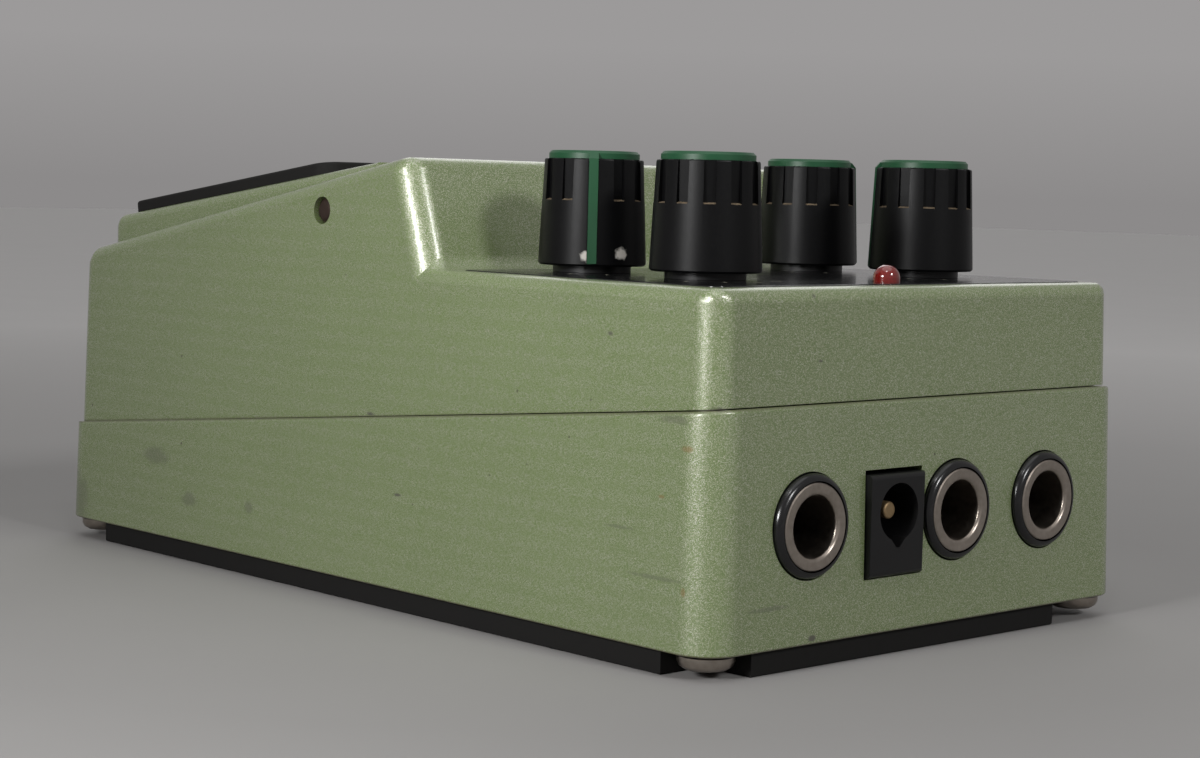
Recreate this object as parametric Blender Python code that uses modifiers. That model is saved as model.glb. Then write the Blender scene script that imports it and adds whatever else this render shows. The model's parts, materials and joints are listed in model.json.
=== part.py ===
"""Digital delay pedal: two castings, a sprung treadle, four knobs, three sockets and the works.

The player stands at -Y, the sockets face +Y, X runs to the player's right and Z is up.
The origin is on the floor under the middle of the whole, sockets included.
"""

import math

import bmesh
import bpy
from mathutils import Matrix, Vector

MM = 0.001

# Clearances
FIT = 0.3 * MM              # between a piece and the seat it rests in
SLIP = 0.15 * MM            # all round a turning, sliding or plugged fit
GLUE = 0.1 * MM             # under the mat, the pad and the panel
SEAM = 0.2 * MM             # between the two castings
OVERRUN = 2.0 * MM          # how far a cut runs past the face it opens
WELD = 0.001 * MM

# Castings
CASE_WIDTH = 70.0 * MM      # across the base edge
CASE_LENGTH = 124.5 * MM    # along the base edge
LOWER_REAR_HEIGHT = 24.9 * MM
LOWER_FRONT_HEIGHT = 12.8 * MM
DECK_HEIGHT = 36.9 * MM     # knob deck above the base edge
CREST_HEIGHT = 49.8 * MM    # sharp corner of the ridge above the base edge
RIDGE_FOOT = 47.3 * MM      # from the rear edge to the foot of the ridge
RIDGE_RUN = 4.6 * MM        # how far the rear slope of the ridge leans
STEP = 0.8 * MM             # the lower casting stands proud of the upper one
TOP_FALL = math.radians(10.7)
DRAFT = math.radians(1.2)
LOWER_CORNER = 4.2 * MM
UPPER_CORNER = 3.0 * MM
LEDGE_ROUND = 0.45 * MM
EDGE_ROUND = 1.6 * MM
NOSE_ROUND = 3.4 * MM
CREST_ROUND = 1.6 * MM
FOOT_ROUND = 1.8 * MM
LOWER_WALL = 3.0 * MM
UPPER_WALL = 2.4 * MM
ROOF = 2.5 * MM
RIDGE_WALL = 3.2 * MM

# Base plate, mat and screws
PLATE = 1.2 * MM
PLATE_INSET = 1.3 * MM      # rim of the casting left round the plate
MAT = 2.5 * MM
MAT_EDGE = 0.8 * MM         # rim of the base left bare on the mat's rear and right sides
MAT_LEFT = 5.7 * MM         # and on its left side
MAT_FRONT = 3.2 * MM        # and on its front side
SCREW_INSET = 4.0 * MM
SCREW_SHANK = 3.0 * MM
SCREW_HEAD = 6.0 * MM
SCREW_HEAD_HEIGHT = 1.6 * MM
SCREW_BITE = 8.5 * MM       # length of the screw in the upper casting
BOSS = 8.0 * MM
POST = 3.6 * MM             # posts under the main board

# Battery and its door
BATTERY_LENGTH = 46.0 * MM
BATTERY_WIDTH = 26.5 * MM
BATTERY_HEIGHT = 17.5 * MM
BATTERY_ROUND = 1.5 * MM
BATTERY_STUD = 6.0 * MM
BATTERY_STUD_HEIGHT = 2.4 * MM
BATTERY_STUD_PITCH = 12.7 * MM
SNAP = 3.4 * MM
DOOR_MARGIN = 2.2 * MM      # door round the battery's outline
DOOR = 1.6 * MM
DOOR_SETBACK = 12.5 * MM     # from the front edge to the door
DOOR_SWING_ROOM = 1.0 * MM  # between the door and the mat's window
DOOR_CORNER = 2.0 * MM
GRIP_WIDTH = 16.0 * MM
GRIP_LENGTH = 5.0 * MM
GRIP_DEPTH = 0.7 * MM

# Treadle
WELL_DEPTH = 10.0 * MM
WELL_FLOOR = 2.0 * MM
WELL_WALL = 3.8 * MM        # from the base edge's side to the well's side
WELL_FRONT = 4.5 * MM       # from the front edge to the well
WELL_REAR = 8.9 * MM        # from the crest to the well
WELL_CORNER = 1.0 * MM
TREADLE_GAP = 0.4 * MM
TREADLE_SHEET = 1.2 * MM
TREADLE_FALL = math.radians(7.63)
TREADLE_CORNER = 2.2 * MM
TREADLE_ROUND = 1.3 * MM
TREADLE_NOSE = 2.2 * MM
SKIRT = 6.0 * MM
EAR = 3.2 * MM              # skirt below the hinge pin
EAR_LENGTH = 7.0 * MM
PIN = 3.0 * MM
PIN_SETBACK = 7.0 * MM      # from the well's rear wall to the pin
PIN_DEPTH = 3.7 * MM        # from the sloped top to the pin
PIN_SUNK = 0.8 * MM         # pin end below the side wall's face
TREADLE_RISE = 4.5 * MM     # treadle's top over the pin
PAD = 1.6 * MM
PAD_EDGE = 1.5 * MM
PAD_FRONT = 4.0 * MM
PAD_REAR = 5.0 * MM         # from the pin to the pad
PAD_CORNER = 2.5 * MM
PAD_ROUND = 0.35 * MM
GROOVE_WIDTH = 1.4 * MM
GROOVE_DEPTH = 0.6 * MM
GROOVE_MARGIN = 3.2 * MM
GROOVES = 11

# Foot switch and return spring
SWITCH_FROM_PIN = 31.0 * MM
SWITCH_BODY = 12.0 * MM
SWITCH_DEPTH = 7.4 * MM
SWITCH_BUSHING = 7.0 * MM
SWITCH_BUSHING_HEIGHT = 4.4 * MM
SWITCH_NUT = 10.0 * MM
SWITCH_NUT_HEIGHT = 2.2 * MM
PLUNGER = 4.0 * MM
PLUNGER_HEAD = 6.4 * MM
PLUNGER_HEAD_HEIGHT = 2.2 * MM
PLUNGER_REACH = 3.6 * MM    # plunger inside its bushing
PLUNGER_TRAVEL = 2.0 * MM
PUSHER = 6.0 * MM
SPRING_FROM_PIN = 16.6 * MM
SPRING_DIAMETER = 7.6 * MM
SPRING_WIRE = 0.9 * MM
SPRING_LENGTH = 7.4 * MM
SPRING_SEAT = 11.0 * MM
SPRING_SEAT_HEIGHT = 1.6 * MM
SPRING_TURNS = 4
SPRING_STEPS = 10

# Knob deck
PANEL = 0.4 * MM
PANEL_RISE = 0.1 * MM
PANEL_MARGIN = 2.6 * MM
PANEL_CORNER = 1.5 * MM
ROW_FROM_REAR = 18.4 * MM
ROW_PITCH = 18.2 * MM
KNOB_FROM_SIDE = 16.9 * MM
KNOB_GAP = 0.8 * MM
KNOB_BASE = 12.3 * MM
KNOB_SHOULDER = 11.3 * MM
KNOB_HEIGHT = 12.0 * MM
KNOB_CHAMFER = 0.25 * MM
KNOB_CAVITY = 10.3 * MM
KNOB_CAVITY_HEIGHT = 2.6 * MM
POCKET_WIDTH = 1.35 * MM
POCKET_DEPTH = 0.5 * MM
POCKET_HEIGHT = 4.5 * MM
POCKETS = 12
CAP = 10.3 * MM
CAP_HEIGHT = 1.2 * MM
CAP_SUNK = 0.3 * MM
CAP_ROUND = 0.3 * MM
STRIPE_WIDTH = 1.35 * MM
STRIPE_DEPTH = 0.5 * MM
STRIPE_PROUD = 0.12 * MM
STRIPE_FOOT = 0.3 * MM
POT_WIDTH = 9.5 * MM
POT_LENGTH = 11.0 * MM
POT_HEIGHT = 6.5 * MM
POT_BUSHING = 7.0 * MM
POT_BORE = 4.8 * MM
POT_NUT = 8.4 * MM
POT_NUT_HEIGHT = 1.6 * MM
SHAFT = 6.0 * MM
SHAFT_JOURNAL_DEPTH = 5.0 * MM
LED_FROM_REAR = 8.2 * MM
LED_DIAMETER = 3.0 * MM
LED_FLANGE = 3.8 * MM
LED_FLANGE_HEIGHT = 1.0 * MM
LED_RISE = 2.0 * MM
LED_DOME_SHARE = 0.96       # of the lens's radius
LED_LEG = 0.5 * MM
LED_LEG_PITCH = 2.54 * MM

# Sockets
JACK_HEIGHT = 12.4 * MM     # socket axis above the base edge
INPUT_X = 20.1 * MM
OUTPUT_X = -3.5 * MM
DIRECT_X = -19.1 * MM
COLLAR = 11.0 * MM
COLLAR_PROUD = 0.85 * MM
COLLAR_ROUND = 0.7 * MM
BUSH = 9.2 * MM
BUSH_PROUD = 0.9 * MM
BUSH_LENGTH = 8.0 * MM
BUSH_CHAMFER = 0.25 * MM
SOCKET_BORE = 6.5 * MM
SOCKET_MOUTH = 0.45 * MM
JACK_WIDTH = 11.0 * MM
JACK_TALL = 13.0 * MM
JACK_DEPTH = 24.0 * MM
JACK_REST = 2.0 * MM        # solid end of the socket body
INLET_X = 6.9 * MM
INLET_WIDTH = 9.0 * MM
INLET_TALL = 11.0 * MM
INLET_DEPTH = 12.5 * MM
INLET_PROUD = 0.8 * MM
INLET_ROUND = 0.3 * MM
INLET_DROP = 0.8 * MM       # middle of the inlet below the socket axes
INLET_OVER = 0.5 * MM       # slot left open over the inlet
INLET_BORE = 6.2 * MM
INLET_BORE_DEPTH = 9.0 * MM
INLET_BORE_RISE = 1.4 * MM  # bore above the middle of the inlet
KEY_WIDTH = 1.6 * MM
KEY_DEPTH = 0.9 * MM
INLET_PIN = 2.0 * MM
INLET_PIN_SUNK = 2.4 * MM
INLET_PIN_ROOT = 1.8 * MM

# Boards
BOARD = 1.6 * MM
BOARD_FROM_SIDE = 8.5 * MM
BOARD_SETBACK = 5.0 * MM    # from the rear edge to the boards
BOARD_TO_BATTERY = 3.3 * MM
CONTROL_TO_FOOT = 6.3 * MM  # from the ridge's foot to the control board
LINK_WIDTH = 18.0 * MM
LINK = 1.2 * MM
LINK_SETBACK = 3.0 * MM     # from the control board's front edge
CHIP_LENGTH = 36.0 * MM
CHIP_WIDTH = 13.8 * MM
CHIP_HEIGHT = 4.0 * MM
MEMORY_LENGTH = 19.0 * MM
MEMORY_WIDTH = 7.6 * MM
MEMORY_HEIGHT = 3.4 * MM
CHIP_CHAMFER = 0.5 * MM
CAPACITOR = 8.0 * MM
CAPACITOR_HEIGHT = 11.5 * MM
CAPACITOR_ROUND = 0.6 * MM

# Heights and places that follow
SLANT = math.tan(DRAFT)
BASE_Z = MAT + GLUE
DECK_Z = BASE_Z + DECK_HEIGHT
JACK_Z = BASE_Z + JACK_HEIGHT
BUSH_REACH = BUSH_PROUD - SLANT * JACK_HEIGHT
REAR_Y = (CASE_LENGTH - BUSH_REACH) / 2
FRONT_Y = REAR_Y - CASE_LENGTH
MIDDLE_Y = (REAR_Y + FRONT_Y) / 2
FOOT_Y = REAR_Y - RIDGE_FOOT
CREST_Y = FOOT_Y - RIDGE_RUN
CREST_Z = BASE_Z + CREST_HEIGHT
WELL_REAR_Y = CREST_Y - WELL_REAR
WELL_FRONT_Y = FRONT_Y + WELL_FRONT
WELL_HALF = CASE_WIDTH / 2 - WELL_WALL
PIN_Y = WELL_REAR_Y - PIN_SETBACK
SCREW_X = CASE_WIDTH / 2 - SCREW_INSET
SCREW_YS = (FRONT_Y + SCREW_INSET, REAR_Y - SCREW_INSET)
PANEL_TOP = DECK_Z + PANEL_RISE
KNOB_Z = PANEL_TOP + KNOB_GAP
DECK_UNDER = DECK_Z - ROOF
POT_TOP = DECK_UNDER - FIT
CONTROL_TOP = POT_TOP - POT_HEIGHT - FIT
MAIN_TOP = JACK_Z - JACK_TALL / 2 - FIT
WALL_INNER_Y = REAR_Y - LOWER_WALL
MAT_NOTCH = SCREW_INSET + SCREW_HEAD / 2 + FIT - MAT_EDGE
KNOB_SPAN = CASE_WIDTH - 2 * KNOB_FROM_SIDE
DOOR_LENGTH = BATTERY_WIDTH + 2 * DOOR_MARGIN
DOOR_WIDTH = BATTERY_LENGTH + 2 * DOOR_MARGIN
DOOR_FRONT_Y = FRONT_Y + DOOR_SETBACK
DOOR_Z = BASE_Z + PLATE / 2
BATTERY_Y = DOOR_FRONT_Y + DOOR_LENGTH / 2
BATTERY_BOTTOM = DOOR_Z + DOOR / 2 + FIT
BATTERY_X = -(FIT + SNAP) / 2
BOARD_WIDTH = CASE_WIDTH - 2 * BOARD_FROM_SIDE
BOARD_REAR_Y = REAR_Y - BOARD_SETBACK
MAIN_LENGTH = BOARD_REAR_Y - (BATTERY_Y + BATTERY_WIDTH / 2 + BOARD_TO_BATTERY)
CONTROL_LENGTH = BOARD_REAR_Y - (FOOT_Y + CONTROL_TO_FOOT)

# Knobs: side of the deck, row from the rear, and how far the pointer is turned clockwise
KNOBS = {
    "level": (-1, 0, math.radians(133)),
    "feedback": (1, 0, math.radians(-137)),
    "time": (-1, 1, math.radians(-46)),
    "mode": (1, 1, math.radians(43)),
}
JACKS = {"input": INPUT_X, "output": OUTPUT_X, "direct": DIRECT_X}

# Pan head: share of the head's radius at shares of its height, seat to crown
SCREW_CROWN_SHARES = ((1.0, 0.4), (0.88, 0.76), (0.55, 1.0), (0.0, 1.0))

FINE = 26                   # sides of a round piece that shows
COARSE = 16                 # sides of one that is hidden
PARTS = None
CUTTERS = None


def top_z(y):
    """Height of the sloped top before its edges are rounded."""
    return CREST_Z - math.tan(TOP_FALL) * (CREST_Y - y)


def well_z(y):
    return top_z(y) - WELL_DEPTH


def parting_z(y):
    """Height of the lower casting's top edge, which falls towards the player."""
    share = (y - FRONT_Y) / CASE_LENGTH
    return BASE_Z + LOWER_FRONT_HEIGHT + (LOWER_REAR_HEIGHT - LOWER_FRONT_HEIGHT) * share


PIN_Z = top_z(PIN_Y) - PIN_DEPTH


def treadle_z(y):
    """Height of the treadle plate's upper face."""
    return PIN_Z + TREADLE_RISE + math.tan(TREADLE_FALL) * (y - PIN_Y)


def lean(z):
    """How far a drafted wall has moved in at this height."""
    return SLANT * (z - BASE_Z)


def clear_scene():
    for old in list(bpy.data.objects):
        bpy.data.objects.remove(old)
    for old in list(bpy.data.collections):
        bpy.data.collections.remove(old)


def new_collection(name):
    collection = bpy.data.collections.new(name)
    bpy.context.scene.collection.children.link(collection)
    return collection


def finish(name, colour, roughness, metallic=0.0):
    material = bpy.data.materials.new(name)
    material.use_nodes = True
    shader = material.node_tree.nodes["Principled BSDF"]
    shader.inputs["Base Color"].default_value = (*colour, 1.0)
    shader.inputs["Roughness"].default_value = roughness
    shader.inputs["Metallic"].default_value = metallic
    material.diffuse_color = (*colour, 1.0)
    return material


def place(obj, location=(0, 0, 0), turn=(0, 0, 0), parent=None):
    obj.location = location
    obj.rotation_euler = turn
    obj.parent = parent
    return obj


def add_part(name, mesh, material, **where):
    obj = bpy.data.objects.new(name, mesh)
    if material is not None:
        mesh.materials.clear()
        mesh.materials.append(material)
    PARTS.objects.link(obj)
    return place(obj, **where)


def add_cutter(name, mesh, **where):
    obj = bpy.data.objects.new(name, mesh)
    obj.hide_render = True
    obj.display_type = "WIRE"
    CUTTERS.objects.link(obj)
    return place(obj, **where)


def add_frame(name, **where):
    """An empty on a joint's axis."""
    obj = bpy.data.objects.new(name, None)
    PARTS.objects.link(obj)
    return place(obj, **where)


def boolean(obj, cutter, operation="DIFFERENCE"):
    modifier = obj.modifiers.new(operation.lower(), "BOOLEAN")
    modifier.operation = operation
    modifier.solver = "EXACT"
    modifier.object = cutter


def bevel_by_weight(obj, width, segments):
    modifier = obj.modifiers.new("rounding", "BEVEL")
    modifier.limit_method = "WEIGHT"
    modifier.width = width
    modifier.segments = segments
    modifier.use_clamp_overlap = False


def bevel_by_angle(obj, width, segments, angle=math.radians(40)):
    modifier = obj.modifiers.new("rounding", "BEVEL")
    modifier.limit_method = "ANGLE"
    modifier.angle_limit = angle
    modifier.width = width
    modifier.segments = segments
    modifier.use_clamp_overlap = False


def new_mesh(name, bm, matrix=None):
    if matrix is not None:
        bmesh.ops.transform(bm, matrix=matrix, verts=bm.verts)
    mesh = bpy.data.meshes.new(name)
    bm.to_mesh(mesh)
    bm.free()
    return mesh


def smooth(mesh):
    """Round pieces are shaded smooth and keep their sharp edges."""
    mesh.shade_smooth()
    mesh.set_sharp_from_angle(angle=math.radians(32))


def box(name, size, centre=(0, 0, 0)):
    bm = bmesh.new()
    bmesh.ops.create_cube(bm, size=1)
    bmesh.ops.scale(bm, vec=size, verts=bm.verts)
    return new_mesh(name, bm, Matrix.Translation(centre))


def cylinder(name, diameter, low, high, axis="Z", centre=(0, 0, 0), sides=FINE):
    """A cylinder from low to high along an axis through centre."""
    bm = bmesh.new()
    bmesh.ops.create_cone(bm, cap_ends=True, segments=sides, radius1=diameter / 2,
                          radius2=diameter / 2, depth=high - low)
    turns = {"X": Matrix.Rotation(math.pi / 2, 4, "Y"),
             "Y": Matrix.Rotation(-math.pi / 2, 4, "X"),
             "Z": Matrix.Identity(4)}
    slide = Matrix.Translation((0, 0, (low + high) / 2))
    return new_mesh(name, bm, Matrix.Translation(centre) @ turns[axis] @ slide)


def hexagon(name, across, low, high):
    bm = bmesh.new()
    radius = across / math.sqrt(3)
    bmesh.ops.create_cone(bm, cap_ends=True, segments=6, radius1=radius, radius2=radius,
                          depth=high - low)
    return new_mesh(name, bm, Matrix.Translation((0, 0, (low + high) / 2)))


def joined(name, meshes):
    """One mesh for a cutter that makes several separate cuts."""
    bm = bmesh.new()
    for mesh in meshes:
        bm.from_mesh(mesh)
    return new_mesh(name, bm)


def rounded_rectangle(width, length, radius, middle=(0, 0), steps=4):
    """Corner arcs of a rectangle, anticlockwise."""
    points = []
    for corner, (side_x, side_y) in enumerate(((1, 1), (-1, 1), (-1, -1), (1, -1))):
        centre_x = middle[0] + side_x * (width / 2 - radius)
        centre_y = middle[1] + side_y * (length / 2 - radius)
        for step in range(steps + 1):
            angle = math.pi / 2 * (corner + step / steps)
            points.append((centre_x + radius * math.cos(angle),
                           centre_y + radius * math.sin(angle)))
    return points


def outline_mesh(name, points, low, high, matrix=None):
    """A flat outline as a filled curve, extruded from low to high and made a mesh."""
    curve = bpy.data.curves.new(name, "CURVE")
    curve.dimensions = "2D"
    curve.fill_mode = "BOTH"
    curve.extrude = (high - low) / 2
    spline = curve.splines.new("POLY")
    spline.points.add(len(points) - 1)
    for point, (x, y) in zip(spline.points, points):
        point.co = (x, y, 0, 1)
    spline.use_cyclic_u = True
    obj = bpy.data.objects.new(name, curve)
    bpy.context.scene.collection.objects.link(obj)
    evaluated = obj.evaluated_get(bpy.context.evaluated_depsgraph_get())
    solid = bpy.data.meshes.new_from_object(evaluated)
    bpy.data.objects.remove(obj)
    bpy.data.curves.remove(curve)
    bm = bmesh.new()
    bm.from_mesh(solid)
    bpy.data.meshes.remove(solid)
    bmesh.ops.remove_doubles(bm, verts=bm.verts, dist=WELD)
    bmesh.ops.dissolve_limit(bm, angle_limit=math.radians(0.1), verts=bm.verts, edges=bm.edges)
    bmesh.ops.recalc_face_normals(bm, faces=bm.faces)
    bmesh.ops.translate(bm, vec=(0, 0, (low + high) / 2), verts=bm.verts)
    return new_mesh(name, bm, matrix)


# Turns an outline's own X, Y and Z to the pedal's Y, Z and X
SIDE_ON = Matrix(((0, 0, 1, 0), (1, 0, 0, 0), (0, 1, 0, 0), (0, 0, 0, 1)))


def side_profile(name, points, half_width):
    """A side profile in Y and Z, as wide as twice half_width."""
    return outline_mesh(name, points, -half_width, half_width, SIDE_ON)


def lean_sides(mesh):
    """Leans the side walls in by the castings' draft."""
    for vertex in mesh.vertices:
        vertex.co.x -= math.copysign(lean(vertex.co.z), vertex.co.x)


def weigh_edges(mesh, points, across, along, widest):
    """Rounding of a profile's edges: across at each point, along on each side after it."""
    bm = bmesh.new()
    bm.from_mesh(mesh)
    weight = bm.edges.layers.float.new("bevel_weight_edge")

    def nearest(vertex):
        gaps = [(vertex.co.y - y) ** 2 + (vertex.co.z - z) ** 2 for y, z in points]
        return gaps.index(min(gaps))

    for edge in bm.edges:
        first, second = (nearest(vertex) for vertex in edge.verts)
        if edge.verts[0].co.x * edge.verts[1].co.x < 0:
            edge[weight] = across[first] / widest
        elif (first + 1) % len(points) == second:
            edge[weight] = along[first] / widest
        elif (second + 1) % len(points) == first:
            edge[weight] = along[second] / widest
    bm.to_mesh(mesh)
    bm.free()


def turned(name, profile, material, steps=FINE, **where):
    """A profile of (radius, height) points, outer side top to bottom, turned about Z."""
    mesh = bpy.data.meshes.new(name)
    mesh.from_pydata([(radius, 0, height) for radius, height in profile],
                     [(i, i + 1) for i in range(len(profile) - 1)], [])
    obj = add_part(name, mesh, material, **where)
    screw = obj.modifiers.new("turning", "SCREW")
    screw.axis = "Z"
    screw.steps = steps
    screw.render_steps = steps
    screw.use_merge_vertices = True
    screw.merge_threshold = WELD
    return obj


def baked(obj):
    """The object's mesh with its modifiers applied, for copies that share it."""
    bpy.context.view_layer.update()
    evaluated = obj.evaluated_get(bpy.context.evaluated_depsgraph_get())
    mesh = bpy.data.meshes.new_from_object(evaluated)
    mesh.name = obj.name
    obj.modifiers.clear()
    obj.data = mesh
    smooth(mesh)
    return mesh


def round_over(radius, height, amount, steps=3):
    """Profile points round an outer top edge that is amount wide."""
    points = []
    for step in range(steps + 1):
        angle = math.pi / 2 * (1 - step / steps)
        points.append((radius - amount + amount * math.cos(angle),
                       height - amount + amount * math.sin(angle)))
    return points


def boss_cores(name, sides=COARSE):
    """The four corner bosses, kept out of a casting's hollow."""
    low = BASE_Z - OVERRUN
    return [cylinder(name, BOSS, low, CREST_Z, centre=(side * SCREW_X, y, 0), sides=sides)
            for side in (-1, 1) for y in SCREW_YS]


def screw_holes(name, low, highs):
    """Clearance holes for the corner screws, from low to one height for each row."""
    return [cylinder(name, SCREW_SHANK + 2 * FIT, low, high, centre=(side * SCREW_X, y, 0),
                     sides=COARSE)
            for side in (-1, 1) for y, high in zip(SCREW_YS, highs)]


def hollow_cutter(name, profile, half_width):
    """A casting's hollow, with the corner bosses left standing in it."""
    hollow = add_cutter(name, side_profile(name, profile, half_width))
    cores = add_cutter(name + "_cores", joined(name + "_cores", boss_cores(name)))
    boolean(hollow, cores)
    return hollow


def knob_place(name):
    side, row, turn = KNOBS[name]
    return side * KNOB_SPAN / 2, REAR_Y - ROW_FROM_REAR - row * ROW_PITCH, turn


def build_upper_case(paint):
    """Top casting: knob deck, ridge, sloped top and the well that holds the treadle."""
    front_top = top_z(FRONT_Y + STEP + lean(top_z(FRONT_Y)))
    corners = [
        (REAR_Y - STEP - lean(parting_z(REAR_Y)), parting_z(REAR_Y) + SEAM),
        (REAR_Y - STEP - lean(DECK_Z), DECK_Z),
        (FOOT_Y, DECK_Z),
        (CREST_Y, CREST_Z),
        (FRONT_Y + STEP + lean(front_top), front_top),
        (FRONT_Y + STEP + lean(parting_z(FRONT_Y)), parting_z(FRONT_Y) + SEAM),
    ]
    across = (0, EDGE_ROUND, FOOT_ROUND, CREST_ROUND, NOSE_ROUND, 0)
    along = (UPPER_CORNER, EDGE_ROUND, UPPER_CORNER, EDGE_ROUND, UPPER_CORNER, 0)
    mesh = side_profile("upper_case", corners, CASE_WIDTH / 2 - STEP)
    lean_sides(mesh)
    weigh_edges(mesh, corners, across, along, NOSE_ROUND)
    case = add_part("upper_case", mesh, paint)
    bevel_by_weight(case, NOSE_ROUND, 3)

    inner_rear = REAR_Y - STEP - lean(DECK_Z) - UPPER_WALL
    inner_front = FRONT_Y + STEP + lean(DECK_Z) + UPPER_WALL
    behind_well = WELL_REAR_Y + UPPER_WALL
    hollow = [
        (inner_rear, parting_z(REAR_Y) - OVERRUN),
        (inner_rear, DECK_UNDER),
        (FOOT_Y - RIDGE_WALL, DECK_UNDER),
        (CREST_Y - RIDGE_WALL, CREST_Z - RIDGE_WALL),
        (behind_well, top_z(behind_well) - RIDGE_WALL),
        (behind_well, well_z(behind_well) - WELL_FLOOR),
        (inner_front, well_z(inner_front) - WELL_FLOOR),
        (inner_front, parting_z(FRONT_Y) - OVERRUN),
    ]
    boolean(case, hollow_cutter("upper_hollow", hollow,
                                CASE_WIDTH / 2 - STEP - lean(DECK_Z) - UPPER_WALL))

    sky = CREST_Z + OVERRUN
    well_length = WELL_REAR_Y - WELL_FRONT_Y
    plan = rounded_rectangle(2 * WELL_HALF, well_length, WELL_CORNER,
                             (0, (WELL_REAR_Y + WELL_FRONT_Y) / 2))
    well = add_cutter("well", outline_mesh("well", plan, BASE_Z, sky))
    below = add_cutter("below_well", side_profile("below_well", [
        (WELL_FRONT_Y - OVERRUN, BASE_Z - OVERRUN),
        (WELL_REAR_Y + OVERRUN, BASE_Z - OVERRUN),
        (WELL_REAR_Y + OVERRUN, well_z(WELL_REAR_Y + OVERRUN)),
        (WELL_FRONT_Y - OVERRUN, well_z(WELL_FRONT_Y - OVERRUN)),
    ], CASE_WIDTH))
    boolean(well, below)
    boolean(case, well)

    seat_y = PIN_Y - SPRING_FROM_PIN
    seat = cylinder("spring_seat", SPRING_SEAT, well_z(seat_y) - WELL_FLOOR,
                    well_z(seat_y) + SPRING_SEAT_HEIGHT, centre=(0, seat_y, 0), sides=COARSE)
    boolean(case, add_cutter("spring_seat", seat), "UNION")

    deck_length = REAR_Y - STEP - lean(DECK_Z) - FOOT_Y
    recess = rounded_rectangle(CASE_WIDTH - 2 * (STEP + lean(DECK_Z) + PANEL_MARGIN - GLUE),
                               deck_length - 2 * (PANEL_MARGIN - GLUE), PANEL_CORNER,
                               (0, FOOT_Y + deck_length / 2))
    floor = PANEL_TOP - PANEL - GLUE
    cuts = [outline_mesh("panel_recess", recess, floor, DECK_Z + OVERRUN)]
    for name in KNOBS:
        x, y, _ = knob_place(name)
        cuts.append(cylinder("pot_hole", POT_BUSHING + 2 * SLIP, DECK_UNDER - OVERRUN,
                             floor + OVERRUN / 2, centre=(x, y, 0), sides=COARSE))
    led_y = REAR_Y - LED_FROM_REAR
    cuts.append(cylinder("led_hole", LED_DIAMETER + 2 * SLIP, DECK_UNDER - OVERRUN,
                         floor + OVERRUN / 2, centre=(0, led_y, 0), sides=COARSE))
    boolean(case, add_cutter("panel_recess", cuts[0]))
    boolean(case, add_cutter("deck_holes", joined("deck_holes", cuts[1:])))

    pin_hole = cylinder("pin_hole", PIN + 2 * SLIP, -CASE_WIDTH / 2, CASE_WIDTH / 2, "X",
                        (0, PIN_Y, PIN_Z), COARSE)
    boolean(case, add_cutter("pin_hole", pin_hole))
    highs = [parting_z(y) + SEAM + SCREW_BITE + OVERRUN for y in SCREW_YS]
    holes = screw_holes("upper_screw_holes", BASE_Z, highs)
    boolean(case, add_cutter("upper_screw_holes", joined("upper_screw_holes", holes)))
    frame = switch_frame()
    bore = cylinder("switch_hole", SWITCH_BUSHING + 2 * SLIP, -WELL_FLOOR - OVERRUN, OVERRUN,
                    sides=COARSE)
    boolean(case, add_cutter("switch_hole", bore, parent=frame))
    return case


def build_lower_case(paint):
    """Wedge-shaped lower casting with the socket face."""
    corners = [
        (REAR_Y, BASE_Z),
        (REAR_Y - lean(parting_z(REAR_Y)), parting_z(REAR_Y)),
        (FRONT_Y + lean(parting_z(FRONT_Y)), parting_z(FRONT_Y)),
        (FRONT_Y, BASE_Z),
    ]
    mesh = side_profile("lower_case", corners, CASE_WIDTH / 2)
    lean_sides(mesh)
    weigh_edges(mesh, corners, (0, LEDGE_ROUND, LEDGE_ROUND, 0),
                (LOWER_CORNER, LEDGE_ROUND, LOWER_CORNER, 0), LOWER_CORNER)
    case = add_part("lower_case", mesh, paint)
    bevel_by_weight(case, LOWER_CORNER, 3)

    rear = WALL_INNER_Y
    front = FRONT_Y + LOWER_WALL
    hollow = [
        (rear, BASE_Z - OVERRUN), (rear, CREST_Z), (front, CREST_Z), (front, BASE_Z - OVERRUN),
    ]
    boolean(case, hollow_cutter("lower_hollow", hollow, CASE_WIDTH / 2 - LOWER_WALL))

    rebate = rounded_rectangle(CASE_WIDTH - 2 * PLATE_INSET, CASE_LENGTH - 2 * PLATE_INSET,
                               LOWER_CORNER - PLATE_INSET, (0, MIDDLE_Y))
    boolean(case, add_cutter("rebate", outline_mesh("rebate", rebate, BASE_Z - OVERRUN,
                                                    BASE_Z + PLATE + FIT)))
    holes = screw_holes("lower_screw_holes", BASE_Z, (CREST_Z, CREST_Z))
    boolean(case, add_cutter("lower_screw_holes", joined("lower_screw_holes", holes)))

    low, high = rear - OVERRUN, REAR_Y + OVERRUN
    sockets = [cylinder("socket_hole", COLLAR + 2 * SLIP, low, high, "Y", (x, 0, JACK_Z))
               for x in JACKS.values()]
    sockets.append(box("inlet_hole", (INLET_WIDTH + 2 * SLIP, high - low,
                                      INLET_TALL + SLIP + INLET_OVER),
                       (INLET_X, (low + high) / 2,
                        JACK_Z - INLET_DROP + (INLET_OVER - SLIP) / 2)))
    boolean(case, add_cutter("socket_holes", joined("socket_holes", sockets)))
    return case


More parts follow.
